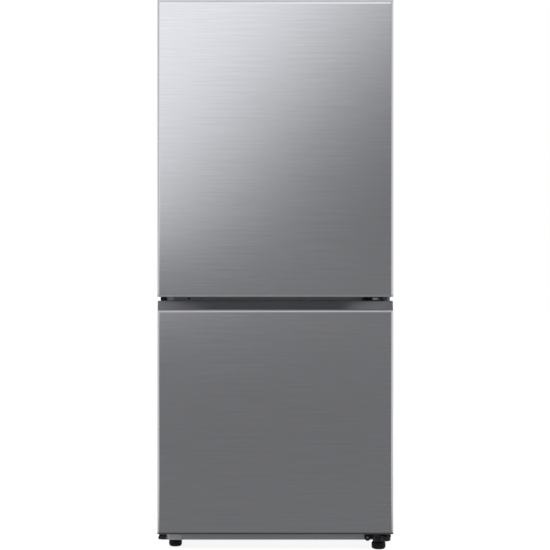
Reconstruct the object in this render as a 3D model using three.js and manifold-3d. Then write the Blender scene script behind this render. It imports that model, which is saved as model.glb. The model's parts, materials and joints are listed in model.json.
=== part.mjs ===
// Bottom freezer refrigerator of the 70 cm class, both doors hinged on the right.
// Millimetres, +Z up, the doors face -Y. The origin is on the floor under the middle of the product.

import * as THREE from 'three';
import { mergeVertices } from 'three/addons/utils/BufferGeometryUtils.js';
import Module from 'manifold-3d';

const wasm = await Module();
wasm.setup();

// Fits
const clearance = 0.3;               // between pieces that rest on or against each other

// Cabinet
const doorWidth = 700;               // the widest piece
const doorOverhang = 5;              // door edge beyond the cabinet's side
const cabinetDepth = 618;
const cabinetBottom = 24;            // lower edge of the side walls
const cabinetCornerRadius = 6;
const sheetSteel = 1;
const frontFlange = 38;              // turned-in front edge that the gaskets close on
const sideInsulation = 50;
const topInsulation = 50;
const rearInsulation = 58;
const floorInsulation = 55;
const undersideHeight = 45;          // tray under the freezer floor
const panSteel = 1.2;
const panFront = 34;                 // behind the cabinet front
const baseRailReach = 30;            // lower lip of the base rail
const beadPitch = 200;               // stiffening beads of the back panel
const mullionThickness = 68;
const railReveal = 6;                // liner edge that shows beside the centre and base rails
const linerThickness = 1.5;
const linerCornerRadius = 12;

// Machine room at the rear, under the stepped freezer floor
const machineRoomDepth = 190;
const machineRoomTop = 245;
const stepInsulation = 50;
const stepChamfer = 25;
const coverBulge = 18;               // how far the rear cover stands behind the cabinet
const compressorInset = 140;         // middle of the compressor from the cabinet's side
const compressorRadius = 68;
const compressorLift = 16;
const compressorHeight = 150;
const condenserInset = 175;
const condenserLength = 180;
const condenserDepth = 120;
const condenserHeight = 100;
const condenserFeet = 12;
const condenserFanX = -20;
const condenserFanRise = 72;         // fan axis above the machine room's floor
const trayHalfWidth = 100;
const trayHeight = 24;
const trayWall = 2;
const inletInset = 60;
const inletHeight = 70;
const inletHalfWidth = 17;
const inletHalfHeight = 13;
const louvreHalf = 58;
const louvrePitch = 140;
const louvreRowPitch = 19;

// Doors
const doorThickness = 68;
const doorGap = 12;                  // door back to cabinet front, closed by the gasket
const doorEdgeRadius = 9;
const doorSkinSteel = 0.8;
const skinDepth = 62;                // sides of the steel skin
const skinReturn = 14;
const doorLinerThickness = 2;
const fridgeDoorHeight = 880;
const freezerDoorHeight = 690;
const freezerDoorBottom = 52;
const doorSpacing = 12;
const doorTopReveal = 10;            // fridge door above the cabinet's roof
const fridgeCapHeight = 7;
const freezerFootHeight = 6;
const gripCapHeight = 27;            // plastic above the steel of the freezer door
const gripCapInset = 1.5;
const topBevelHeight = 5;
const topBevelDepth = 3;
const gripBevelHeight = 6;
const gripBevelDepth = 4;
const gasketWidth = 18;
const gasketMullionInset = 11;       // gasket edge from the middle of the gap between the doors
const gasketTopInset = 20;           // gasket edge below the cabinet's roof
const gasketFloorInset = 24;         // gasket edge below the freezer floor
const scoopInset = 12;               // end of the finger scoop from the door's side
const scoopRun = 150;                // length over which it reaches its full depth
const scoopReach = 38;
const gripSlopeDepth = 14;           // foot of the cap's slope to its top edge
const rimClearance = 15;             // liner rim to the cavity walls
const rimWidth = 25;
const rimReach = 30;                 // how far the rim enters the cavity

// Hinges
const hingeInset = 22;               // pin axis from the door's right edge
const hingeBack = 28;                // pin axis behind the door's front
const pinRadius = 4;
const pinEngagement = 14;
const washerRadius = 8;
const hingePlate = 4;
const bottomPlateDrop = 8;           // freezer door to the plate of the bottom hinge

// Feet and rollers
const leftFootInset = 43;            // from the cabinet's side
const leftFootDepth = 25;            // behind the cabinet front
const leftFootRadius = 19.5;
const leftFootHeight = 21.7;
const rightFootInset = 36;
const rightFootDepth = -22.5;
const rightFootRadius = 21;
const rightFootHeight = 25.7;
const studRadius = 5;
const footBracketWidth = 42;
const footBracketHeight = 18;
const rollerRadius = 11;
const rollerWidth = 16;
const rollerInset = 45;
const rollerFromBack = 60;
const axleRadius = 3;

// Fresh-food room
const shelfFront = 110;              // behind the cabinet front
const shelfBackGap = 40;             // air passage behind shelves and crispers
const topShelfHeadroom = 192;
const shelfFrameHeight = 12;
const shelfGlass = 4;
const ledgeWidth = 10;
const crisperFront = 120;
const crisperHeight = 176;
const crisperHeadroom = 14;
const crisperGap = 8;
const crisperSideGap = 6;
const ductCoverHalf = 92;
const ductCoverRise = 25;            // lower edge above the crisper cover
const ductCoverDrop = 20;            // upper edge below the ceiling
const ductCoverDepth = 26;
const lampDepth = 175;               // middle of the lens behind the cabinet front
const lampHalfDepth = 25;
const lampHalfWidth = 110;
const lampDrop = 18;
const sliderTravel = 40;

// Freezer room
const drawerFront = 58;
const drawerFloorGap = 6;
const drawerStepGap = 11;            // middle drawer above the step
const drawerHeadroom = 8;
const drawerPanelGap = 12;           // between two drawer fronts
const drawerPanelRise = 28;          // front above the tub's rim, with the drop at its foot
const lowDrawerBackGap = 8;
const drawerBackGap = 18;
const runnerWidth = 12;
const evaporatorRoomDepth = 90;
const coldCoverThickness = 3;
const evaporatorInset = 80;          // end of the coil from the wall
const evaporatorDepth = 56;
const evaporatorRise = 20;           // coil above the step
const fanBayHeight = 199;            // above the coil
const evaporatorFanDrop = 90;        // fan axis below the freezer ceiling
const evaporatorFanGap = 20;         // fan's middle behind the cover
const drawerFlange = 3;
const drawerWall = 2.5;
const drawerPanel = 14;

// Door bins
const binReach = 100;
const lowBinHeight = 120;
const upperBinHeight = 90;
const lowBinRise = 60;               // above the room's floor
const topBinHeadroom = 192;
const binFrontDrop = 30;
const binWall = 2.4;

// Fans
const fanRadius = 50;
const fanHubRadius = 16;
const fanHubLength = 24;
const fanBlades = 5;
const fanShaftRadius = 3;
const fanMotorGap = 2;               // hub to motor
const fanMotorLength = 26;

// Places that follow from the sizes
const overallDepth = doorThickness + doorGap + cabinetDepth + coverBulge;
const frontY = -overallDepth / 2;
const cabinetFrontY = frontY + doorThickness + doorGap;
const doorHalf = doorWidth / 2;
const cabinetHalf = doorHalf - doorOverhang;
const insideHalf = cabinetHalf - sheetSteel - clearance;
const cavityHalf = cabinetHalf - sideInsulation;
const cavityDepth = cabinetDepth - rearInsulation;
const freezerDoorTop = freezerDoorBottom + freezerDoorHeight;
const fridgeDoorBottom = freezerDoorTop + doorSpacing;
const fridgeDoorTop = fridgeDoorBottom + fridgeDoorHeight;
const cabinetTop = fridgeDoorTop - doorTopReveal;
const gapCentre = freezerDoorTop + doorSpacing / 2;
const mullionBottom = gapCentre - mullionThickness / 2;
const mullionTop = gapCentre + mullionThickness / 2;
const fridgeCavityTop = cabinetTop - topInsulation;
const freezerFloor = undersideHeight + floorInsulation;
const machineRoomFront = cabinetDepth - machineRoomDepth;
const stepDepth = machineRoomFront - stepInsulation;
const stepTop = machineRoomTop + stepInsulation;
const coldCoverDepth = cavityDepth - evaporatorRoomDepth;
const shelfDepth = cavityDepth - shelfFront - shelfBackGap;
const crisperDepth = cavityDepth - crisperFront - shelfBackGap;
const crisperCoverHeight = mullionTop + crisperHeight + crisperHeadroom;
const shelfPitch = (fridgeCavityTop - topShelfHeadroom - crisperCoverHeight) / 2;
const binPitch = (fridgeCavityTop - topBinHeadroom - mullionTop - lowBinRise) / 2;
const lowDrawerLevel = freezerFloor + drawerFloorGap;
const middleDrawerLevel = stepTop + drawerStepGap;
const upperDrawerPitch = (mullionBottom - drawerHeadroom - middleDrawerLevel) / 2;
const hingeX = doorHalf - hingeInset;
const hingeDepth = hingeBack - doorThickness - doorGap;
const gasketHalf = hingeX - 1;
const lipHalf = cabinetHalf - frontFlange - clearance;
const baseRailTop = freezerFloor - railReveal - 1;
const leftFootX = -cabinetHalf + leftFootInset;
const rightFootX = cabinetHalf - rightFootInset;
const rollerX = cabinetHalf - rollerInset;
const machineFloor = cabinetBottom + panSteel + clearance;
const machineMiddle = machineRoomFront + machineRoomDepth / 2;
const compressorX = -cabinetHalf + compressorInset;
const condenserX = cabinetHalf - condenserInset;
const inletX = cabinetHalf - inletInset;

const paint = {
  silverSteel: material('#8f9194', 0.45, 0.6),
  brushedSteel: material('#a9abae', 0.35, 0.9),
  darkPlastic: material('#4d4f52', 0.5, 0),
  greyPlastic: material('#8d8f91', 0.5, 0),
  blackPlastic: material('#17181a', 0.55, 0),
  whitePlastic: material('#eceded', 0.4, 0),
  foam: material('#d9c9a0', 0.95, 0),
  galvanised: material('#a4a8ab', 0.5, 0.8),
  clearPlastic: material('#dfe7ea', 0.15, 0),
  glass: material('#cfe0da', 0.08, 0),
  rubber: material('#8b8d8f', 0.8, 0),
  hingeSteel: material('#7d8084', 0.4, 0.9),
  blackSteel: material('#1d1e20', 0.5, 0.5),
  aluminium: material('#b9bcbf', 0.4, 0.9)
};

function material(color, roughness, metalness) {
  return new THREE.MeshStandardMaterial({ color, roughness, metalness });
}

// ---------------------------------------------------------------- shapes and solids

function solidOf(geometry) {
  const bare = geometry.clone();
  bare.deleteAttribute('normal');
  bare.deleteAttribute('uv');
  const merged = mergeVertices(bare, 1e-4);
  const corners = Array.from(merged.index.array);
  const triangles = [];
  for (let i = 0; i < corners.length; i += 3) {
    const [a, b, c] = corners.slice(i, i + 3);
    if (a !== b && b !== c && c !== a) {
      triangles.push(a, b, c);
    }
  }
  return new wasm.Manifold(new wasm.Mesh({
    numProp: 3,
    vertProperties: Float32Array.from(merged.attributes.position.array),
    triVerts: Uint32Array.from(triangles)
  }));
}

function geometryOf(solid) {
  const mesh = solid.getMesh();
  const geometry = new THREE.BufferGeometry();
  geometry.setAttribute('position', new THREE.BufferAttribute(Float32Array.from(mesh.vertProperties), 3));
  geometry.setIndex(new THREE.BufferAttribute(Uint32Array.from(mesh.triVerts), 1));
  geometry.computeVertexNormals();
  return geometry;
}

function joined(solids) {
  return solids.reduce((whole, next) => whole.add(next));
}

function without(solid, tools) {
  return tools.reduce((rest, tool) => rest.subtract(tool), solid);
}

function piece(name, solid, finish, x = 0, y = 0, z = 0) {
  const mesh = new THREE.Mesh(geometryOf(solid), finish);
  mesh.name = name;
  mesh.position.set(x, y, z);
  return mesh;
}

function block(x0, x1, y0, y1, z0, z1) {
  const box = new THREE.BoxGeometry(x1 - x0, y1 - y0, z1 - z0);
  return solidOf(box.translate((x0 + x1) / 2, (y0 + y1) / 2, (z0 + z1) / 2));
}

// An outline pushed along an axis: x takes (y, z) outlines, y takes (x, z) and z takes (x, y).
function prism(axis, shape, from, to, curveSegments = 2) {
  const outline = plainOutline(shape, curveSegments);
  const geometry = new THREE.ExtrudeGeometry(outline, { depth: to - from, bevelEnabled: false });
  if (axis === 'x') {
    const turn = new THREE.Matrix4().makeBasis(
      new THREE.Vector3(0, 1, 0), new THREE.Vector3(0, 0, 1), new THREE.Vector3(1, 0, 0));
    geometry.applyMatrix4(turn).translate(from, 0, 0);
  } else if (axis === 'y') {
    geometry.rotateX(Math.PI / 2).translate(0, to, 0);
  } else {
    geometry.translate(0, 0, from);
  }
  return solidOf(geometry);
}

// The same outline as straight runs, without the doubled points where its arcs meet its lines.
function plainOutline(shape, curveSegments) {
  const { shape: rim, holes } = shape.extractPoints(curveSegments);
  const distinct = (points) => points.filter((point, i) =>
    point.distanceTo(points[(i + points.length - 1) % points.length]) > 0.001);
  const outline = new THREE.Shape(distinct(rim));
  outline.holes = holes.map((hole) => new THREE.Path(distinct(hole)));
  return outline;
}

function polygon(points) {
  return new THREE.Shape(points.map(([u, v]) => new THREE.Vector2(u, v)));
}

function roundedRect(u0, u1, v0, v1, radius) {
  const shape = new THREE.Shape();
  shape.moveTo(u0 + radius, v0);
  shape.lineTo(u1 - radius, v0);
  shape.absarc(u1 - radius, v0 + radius, radius, -Math.PI / 2, 0, false);
  shape.absarc(u1 - radius, v1 - radius, radius, 0, Math.PI / 2, false);
  shape.absarc(u0 + radius, v1 - radius, radius, Math.PI / 2, Math.PI, false);
  shape.absarc(u0 + radius, v0 + radius, radius, Math.PI, 1.5 * Math.PI, false);
  return shape;
}

// A round bar along an axis, whose centre line is at (u, v) in the plane across it.
function rod(axis, radius, from, to, u, v, sides = 12) {
  const circle = new THREE.Shape();
  for (let i = 0; i < sides; i += 1) {
    const angle = 2 * Math.PI * i / sides;
    const point = [u + radius * Math.cos(angle), v + radius * Math.sin(angle)];
    if (i === 0) {
      circle.moveTo(...point);
    } else {
      circle.lineTo(...point);
    }
  }
  return prism(axis, circle, from, to);
}

// A turned piece about Z, from [radius, height] points that start and end on the axis.
function turned(points, sides = 20) {
  const geometry = new THREE.LatheGeometry(points.map(([r, h]) => new THREE.Vector2(r, h)), sides);
  geometry.rotateX(Math.PI / 2);
  return solidOf(geometry);
}

// Draws the lower end of an upright solid in towards (centreX, centreY).
function drafted(solid, bottom, top, centreX, centreY, shrinkX, shrinkY) {
  return solid.warp((point) => {
    const share = (top - point[2]) / (top - bottom);
    point[0] = centreX + (point[0] - centreX) * (1 - shrinkX * share);
    point[1] = centreY + (point[1] - centreY) * (1 - shrinkY * share);
  });
}

// ---------------------------------------------------------------- cabinet shell

function wrapperOutline(edge, bottom) {
  const shape = new THREE.Shape();
  const r = cabinetCornerRadius;
  const inner = Math.max(r - edge, 0.5);
  const insideX = cabinetHalf - edge;
  const insideTop = cabinetTop - edge;
  shape.moveTo(-cabinetHalf, bottom);
  shape.lineTo(-insideX, bottom);
  shape.absarc(-insideX + inner, insideTop - inner, inner, Math.PI, Math.PI / 2, true);
  shape.absarc(insideX - inner, insideTop - inner, inner, Math.PI / 2, 0, true);
  shape.lineTo(insideX, bottom);
  shape.lineTo(cabinetHalf, bottom);
  shape.absarc(cabinetHalf - r, cabinetTop - r, r, 0, Math.PI / 2, false);
  shape.absarc(-cabinetHalf + r, cabinetTop - r, r, Math.PI / 2, Math.PI, false);
  return shape;
}

function outerWrapper() {
  const walls = prism('y', wrapperOutline(sheetSteel, cabinetBottom), 0, cabinetDepth);
  const flange = prism('y', wrapperOutline(frontFlange, baseRailTop + clearance), 0, sheetSteel);
  return piece('outer_wrapper', walls.add(flange), paint.silverSteel);
}

// The space inside the wrapper, which what fits in it keeps to.
function insideWrapper(front, back) {
  const shape = new THREE.Shape();
  const r = Math.max(cabinetCornerRadius - sheetSteel, 0.5) + clearance;
  const top = cabinetTop - sheetSteel - clearance;
  shape.moveTo(-insideHalf, 0);
  shape.lineTo(insideHalf, 0);
  shape.absarc(insideHalf - r, top - r, r, 0, Math.PI / 2, false);
  shape.absarc(-insideHalf + r, top - r, r, Math.PI / 2, Math.PI, false);
  return prism('y', shape, front, back);
}

// One folded sheet: the back, then the ceiling and front wall of the machine room.
function backPanel() {
  const back = cabinetDepth;
  const top = cabinetTop - sheetSteel - clearance;
  const fold = machineRoomFront;
  const sheet = prism('x', polygon([
    [back, machineRoomTop], [back, top], [back - sheetSteel, top],
    [back - sheetSteel, machineRoomTop + sheetSteel], [fold - sheetSteel, machineRoomTop + sheetSteel],
    [fold - sheetSteel, undersideHeight + clearance], [fold, undersideHeight + clearance],
    [fold, machineRoomTop]
  ]), -insideHalf, insideHalf);
  const beadHeight = 3;
  const beadHalf = 12;
  const beadEnd = 120;
  const beads = [-beadPitch, 0, beadPitch].map((x) => prism('z', polygon([
    [x - beadHalf, back - sheetSteel / 2], [x + beadHalf, back - sheetSteel / 2],
    [x + beadHalf / 2, back + beadHeight], [x - beadHalf / 2, back + beadHeight]
  ]), machineRoomTop + beadEnd, cabinetTop - beadEnd));
  return piece('back_panel', joined([sheet.intersect(insideWrapper(0, back)), ...beads]), paint.galvanised);
}

function rollerBracket(x, y) {
  const cheekThickness = 3;
  const cheekReach = 12;
  const cheek = (from, to) => without(
    block(from, to, y - cheekReach, y + cheekReach, rollerRadius - axleRadius - 4, cabinetBottom + 0.5),
    [rod('x', axleRadius + clearance, from - 1, to + 1, y, rollerRadius, 16)]);
  const inner = rollerWidth / 2 + 1.5;
  return cheek(x - inner - cheekThickness, x - inner).add(cheek(x + inner, x + inner + cheekThickness));
}

function basePan() {
  const rear = cabinetDepth - 3;
  const sheet = prism('x', polygon([
    [panFront, undersideHeight - panSteel], [machineRoomFront, undersideHeight - panSteel],
    [machineRoomFront, cabinetBottom], [rear, cabinetBottom], [rear, cabinetBottom + panSteel],
    [machineRoomFront + panSteel, cabinetBottom + panSteel],
    [machineRoomFront + panSteel, undersideHeight], [panFront, undersideHeight]
  ]), -insideHalf, insideHalf);
  const rollerY = cabinetDepth - rollerFromBack;
  const brackets = [-1, 1].map((side) => rollerBracket(side * rollerX, rollerY));
  return piece('base_pan', joined([sheet, ...brackets]), paint.galvanised);
}

// C-section of painted steel across the front, notched for the left foot's bracket.
function frontBaseRail() {
  const face = panSteel;
  const lipReach = baseRailReach;
  const rail = prism('x', polygon([
    [0, cabinetBottom], [lipReach, cabinetBottom], [lipReach, cabinetBottom + face],
    [face, cabinetBottom + face], [face, baseRailTop], [0, baseRailTop]
  ]), -insideHalf, insideHalf);
  const halfNotch = footBracketWidth / 2 + clearance;
  const notchTop = leftFootHeight + clearance + footBracketHeight + clearance;
  const notch = block(leftFootX - halfNotch, leftFootX + halfNotch, -1, lipReach + 1,
    cabinetBottom - 1, notchTop);
  return piece('front_base_rail', rail.subtract(notch), paint.silverSteel);
}

function footBracketLeft() {
  const half = footBracketWidth / 2;
  const bottom = leftFootHeight + clearance;
  const body = prism('z', roundedRect(leftFootX - half, leftFootX + half, -2.3, leftFootDepth + half, 5),
    bottom, bottom + footBracketHeight);
  const bore = rod('z', studRadius + clearance, 0, 100, leftFootX, leftFootDepth, 16);
  return piece('foot_bracket_left', body.subtract(bore), paint.greyPlastic);
}

const railLip = 11;

function centreRail() {
  const bottom = mullionBottom + railReveal;
  const top = mullionTop - railReveal;
  const rail = prism('x', polygon([
    [0, bottom], [railLip, bottom], [railLip, bottom + sheetSteel], [sheetSteel, bottom + sheetSteel],
    [sheetSteel, top - sheetSteel], [railLip, top - sheetSteel], [railLip, top], [0, top]
  ]), -lipHalf, lipHalf);
  return piece('centre_rail', rail, paint.silverSteel);
}

// Room of the fresh-food liner, larger than its cavity by the given amount.
function fridgeRoom(grow, front) {
  return prism('y', roundedRect(-cavityHalf - grow, cavityHalf + grow, mullionTop - grow,
    fridgeCavityTop + grow, linerCornerRadius + grow), front, cavityDepth + grow);
}

function shelfLevels() {
  return [crisperCoverHeight, crisperCoverHeight + shelfPitch, crisperCoverHeight + 2 * shelfPitch];
}

function ledge(side, top, reach, front, back) {
  const wall = side * (cavityHalf + 0.5);
  const edge = side * (cavityHalf - reach);
  return prism('y', polygon(side > 0
    ? [[wall, top], [edge, top], [edge, top - 3], [wall, top - 12]]
    : [[wall, top], [wall, top - 12], [edge, top - 3], [edge, top]]), front, back);
}

function freshFoodLiner() {
  const flange = block(-lipHalf, lipHalf, 0, linerThickness,
    mullionTop - railReveal + clearance, cabinetTop - frontFlange - clearance);
  const shell = fridgeRoom(linerThickness, 0).add(flange).subtract(fridgeRoom(0, -1));
  const ledges = shelfLevels().flatMap((level) => [-1, 1].map((side) => ledge(
    side, level - clearance, ledgeWidth, shelfFront + 30, shelfFront + shelfDepth)));
  return piece('fresh_food_liner', joined([shell, ...ledges]), paint.whitePlastic);
}

// Side outline of the freezer room with its step over the machine room.
function freezerRoom(grow, front, halfWidth) {
  const slant = grow * Math.tan(Math.PI / 8);
  return prism('x', polygon([
    [front, freezerFloor - grow], [stepDepth + grow, freezerFloor - grow],
    [stepDepth + grow, stepTop - stepChamfer - slant], [stepDepth + stepChamfer + slant, stepTop - grow],
    [cavityDepth + grow, stepTop - grow], [cavityDepth + grow, mullionBottom + grow],
    [front, mullionBottom + grow]
  ]), -halfWidth, halfWidth);
}

function drawerLevel(index) {
  return index === 0 ? lowDrawerLevel : middleDrawerLevel + (index - 1) * upperDrawerPitch;
}

function drawerPanelHeight(index) {
  return (index === 0 ? middleDrawerLevel - lowDrawerLevel : upperDrawerPitch) - drawerPanelGap;
}

function drawerHeight(index) {
  return drawerPanelHeight(index) - drawerPanelRise;
}

function freezerLiner() {
  const flange = block(-lipHalf, lipHalf, 0, linerThickness, baseRailTop + clearance,
    mullionBottom + railReveal - clearance);
  const shell = freezerRoom(linerThickness, 0, cavityHalf + linerThickness).add(flange)
    .subtract(freezerRoom(0, -1, cavityHalf));
  const runners = [0, 1, 2].flatMap((i) => [-1, 1].map((side) => ledge(
    side, drawerLevel(i) + drawerHeight(i) - drawerFlange - clearance, runnerWidth,
    drawerFront + drawerPanel + 2, (i === 0 ? stepDepth : coldCoverDepth) - 10)));
  return piece('freezer_liner', joined([shell, ...runners]), paint.whitePlastic);
}

function cabinetFoam() {
  const front = linerThickness + clearance;
  const side = insideHalf;
  const inner = clearance;
  const back = cabinetDepth - sheetSteel - inner;
  const fold = machineRoomFront - sheetSteel - inner;
  const ceiling = machineRoomTop + sheetSteel + inner;
  const core = prism('x', polygon([
    [front, undersideHeight + inner], [fold, undersideHeight + inner], [fold, ceiling], [back, ceiling],
    [back, cabinetTop - sheetSteel - inner], [front, cabinetTop - sheetSteel - inner]
  ]), -side, side);
  const gap = linerThickness + clearance;
  const railPocket = block(-lipHalf - 1, lipHalf + 1, 0, railLip + 2 * clearance,
    mullionBottom + railReveal - 1, mullionTop - railReveal + 1);
  const hollow = [fridgeRoom(gap, -1), freezerRoom(gap, -1, cavityHalf + gap), railPocket];
  return piece('cabinet_foam', without(core.intersect(insideWrapper(0, back)), hollow), paint.foam);
}

// ---------------------------------------------------------------- hinges and front trims

function hingeNose(radius, rootFrom, rootTo, rootDepth) {
  const shape = new THREE.Shape();
  shape.moveTo(rootFrom, rootDepth);
  shape.lineTo(hingeX - radius, hingeDepth);
  shape.absarc(hingeX, hingeDepth, radius, Math.PI, 2 * Math.PI, false);
  shape.lineTo(rootTo, rootDepth);
  return shape;
}

function bottomHinge() {
  const plateTop = freezerDoorBottom - bottomPlateDrop;
  const plateBottom = plateTop - hingePlate;
  const nose = 17;
  const plate = prism('z', hingeNose(nose, hingeX - 46, hingeX + nose, -clearance), plateBottom, plateTop, 3);
  const flange = block(hingeX - 60, hingeX + nose, -3.3, -clearance, cabinetBottom + 3, plateTop);
  const bossHalf = 18;
  const boss = prism('z', roundedRect(rightFootX - bossHalf, rightFootX + bossHalf,
    rightFootDepth - bossHalf, -3, 4), rightFootHeight + clearance, plateTop - 1);
  const pinBoss = rod('z', 15, plateTop - 16, plateTop - 1, hingeX, hingeDepth, 14);
  const loopX = hingeX - 51;
  const loopZ = plateTop - 15.5;
  const loop = rod('y', 8.5, -8, -clearance, loopX, loopZ, 14);
  const loopHole = rod('y', 4, -9, 1, loopX, loopZ, 10);
  const pin = rod('z', pinRadius, plateTop - 1, freezerDoorBottom + pinEngagement, hingeX, hingeDepth);
  const washer = rod('z', washerRadius, plateTop - 1, freezerDoorBottom - clearance, hingeX, hingeDepth);
  const studBore = rod('z', studRadius + clearance, 0, 100, rightFootX, rightFootDepth, 16);
  const body = without(joined([plate, flange, boss, pinBoss, loop]), [loopHole, studBore]);
  return piece('bottom_hinge', joined([body, pin, washer]), paint.blackSteel);
}

function middleHinge() {
  const low = gapCentre - hingePlate / 2;
  const high = gapCentre + hingePlate / 2;
  const plate = prism('z', hingeNose(11, hingeX - 58, hingeX + 8, -clearance), low, high, 3);
  const flange = block(hingeX - 66, hingeX + 8, -3.3, -clearance, gapCentre - 8, gapCentre + 8);
  const pin = rod('z', pinRadius, freezerDoorTop - pinEngagement, fridgeDoorBottom + pinEngagement,
    hingeX, hingeDepth);
  const washer = rod('z', washerRadius, freezerDoorTop + clearance, fridgeDoorBottom - clearance,
    hingeX, hingeDepth);
  return piece('middle_hinge', joined([plate, flange, pin, washer]), paint.blackSteel);
}

// Plate bolted to the cabinet's roof, stepped up to pass over the fridge door.
function topHinge() {
  const seat = cabinetTop + clearance;
  const over = fridgeDoorTop + 2.3;
  const profile = prism('x', polygon([
    [110, seat], [110, seat + hingePlate], [18, seat + hingePlate], [5, over + hingePlate],
    [hingeDepth - 15, over + hingePlate], [hingeDepth - 15, over], [4, over], [16, seat]
  ]), hingeX - 30, hingeX + 14);
  const nose = new THREE.Shape();
  nose.moveTo(hingeX - 26, 111);
  nose.lineTo(hingeX - 26, 0);
  nose.lineTo(hingeX - 12, hingeDepth);
  nose.absarc(hingeX, hingeDepth, 12, Math.PI, 2 * Math.PI, false);
  nose.lineTo(hingeX + 12, 111);
  const plate = profile.intersect(prism('z', nose, seat - 1, over + 2 * hingePlate, 3));
  const pin = rod('z', pinRadius, fridgeDoorTop - pinEngagement, over + 1, hingeX, hingeDepth);
  const washer = rod('z', washerRadius, fridgeDoorTop + clearance, over + 1, hingeX, hingeDepth);
  return piece('top_hinge', joined([plate, pin, washer]), paint.hingeSteel);
}

function topHingeCover() {
  const wall = 2;
  const seat = cabinetTop + clearance;
  const overDoor = fridgeDoorTop + 1.5;
  const top = fridgeDoorTop + 15;
  const front = hingeDepth - 20;
  const outline = new THREE.Shape();
  outline.moveTo(126, seat);
  outline.lineTo(126, top - 12);
  outline.quadraticCurveTo(126, top, 104, top);
  outline.lineTo(front + 14, top);
  outline.quadraticCurveTo(front, top, front, top - 10);
  outline.lineTo(front, overDoor);
  outline.lineTo(-2, overDoor);
  outline.lineTo(-2, seat);
  const shell = prism('x', outline, hingeX - 40, doorHalf - 4, 3);
  const room = prism('x', polygon([
    [126 - wall, seat - 5], [126 - wall, top - 14], [104, top - wall], [front + 12, top - wall],
    [front + wall, top - 11], [front + wall, seat - 5]
  ]), hingeX - 40 + wall, doorHalf - 4 - wall);
  return piece('top_hinge_cover', shell.subtract(room), paint.greyPlastic);
}

// Cap over the unused hinge holes on the left of the gap between the doors.
function gapPlug() {
  const outer = -cabinetHalf + 0.5;
  const body = prism('z', roundedRect(outer, outer + 18, -10, -clearance, 3),
    gapCentre - doorSpacing / 2 + 0.7, gapCentre + doorSpacing / 2 - 0.7);
  return piece('mid_gap_plug', body, paint.blackPlastic);
}

function levellingFoot(name, radius, height, studTop, x, depth) {
  const body = turned([
    [0, 0], [radius - 4, 0], [radius - 1, 2.5], [radius, 6], [radius, height - 2], [radius - 1.5, height],
    [studRadius, height], [studRadius, studTop], [0, studTop]
  ], 20);
  return piece(name, body, paint.blackPlastic, x, cabinetFrontY + depth, 0);
}

function rearRoller(name, side) {
  const half = rollerWidth / 2;
  const tyre = rod('x', rollerRadius, -half, half, 0, 0, 24);
  const axle = rod('x', axleRadius, -half - 5, half + 5, 0, 0, 16);
  return piece(name, tyre.add(axle), paint.blackPlastic, side * rollerX,
    cabinetFrontY + cabinetDepth - rollerFromBack, rollerRadius);
}

// ---------------------------------------------------------------- fresh-food room

// A pane in a moulded frame. The frame has a rabbet for the pane and a deeper front trim.
function shelf(name, level, withSlot) {
  const half = cavityHalf - 2;
  const rim = 13;
  const rabbet = 5;
  const back = shelfDepth;
  const trim = 22;
  const paneBottom = shelfFrameHeight - shelfGlass - 2 * clearance;
  const body = block(-half, half, 6, back, 0, shelfFrameHeight);
  const nose = prism('x', roundedRect(0, trim, -5, shelfFrameHeight + 3, 5), -half, half, 2);
  const opening = block(-half + rim, half - rim, trim + rabbet, back - rim, -1, shelfFrameHeight + 1);
  const pocket = block(-half + rim - rabbet, half - rim + rabbet, trim, back - rim + rabbet,
    paneBottom, shelfFrameHeight + 1);
  const slotHalf = sliderTravel / 2 + 9;
  const slot = block(-slotHalf, slotHalf, -1, 4, 0.5, 6.5);
  const tools = withSlot ? [opening, pocket, slot] : [opening, pocket];
  const frame = without(body.add(nose), tools);
  const inset = rim - rabbet + clearance;
  const pane = block(-half + inset, half - inset, trim + clearance, back - inset,
    paneBottom + clearance, paneBottom + clearance + shelfGlass);
  return [
    piece(`${name}_frame`, frame, paint.whitePlastic, 0, shelfFront, level),
    piece(`${name}_glass`, pane, paint.glass, 0, shelfFront, level)
  ];
}

function humiditySlider() {
  const knob = block(-8, 8, -5, 4 - clearance, 0.5 + clearance, 6.5 - clearance);
  const ridge = block(-1.5, 1.5, -6.5, -4, 0.5 + clearance, 6.5 - clearance);
  return piece('humidity_slider', knob.add(ridge), paint.whitePlastic,
    -sliderTravel / 2, cabinetFrontY + shelfFront, crisperCoverHeight);
}

function airDuctCover() {
  const half = ductCoverHalf;
  const bottom = crisperCoverHeight + ductCoverRise;
  const top = fridgeCavityTop - ductCoverDrop;
  const front = cavityDepth - ductCoverDepth;
  const outer = prism('y', roundedRect(-half, half, bottom, top, 18), front, cavityDepth - clearance);
  const inner = prism('y', roundedRect(-half + 2.5, half - 2.5, bottom + 2.5, top - 2.5, 15.5),
    front + 2.5, cavityDepth + 1);
  const slots = [];
  const rows = 6;
  for (let row = 0; row < rows; row += 1) {
    const z = bottom + (top - bottom) * (row + 0.7) / rows;
    [-1, 1].forEach((side) => slots.push(
      block(side * 45 - 28, side * 45 + 28, front - 1, front + 4, z, z + 8)));
  }
  return piece('air_duct_cover', without(outer, [inner, ...slots]), paint.whitePlastic);
}

function lampLens() {
  const shape = new THREE.Shape();
  const top = fridgeCavityTop - clearance;
  shape.moveTo(lampDepth - lampHalfDepth, top);
  shape.quadraticCurveTo(lampDepth, top - lampDrop, lampDepth + lampHalfDepth, top);
  return piece('lamp_lens', prism('x', shape, -lampHalfWidth, lampHalfWidth, 6), paint.clearPlastic);
}

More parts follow.
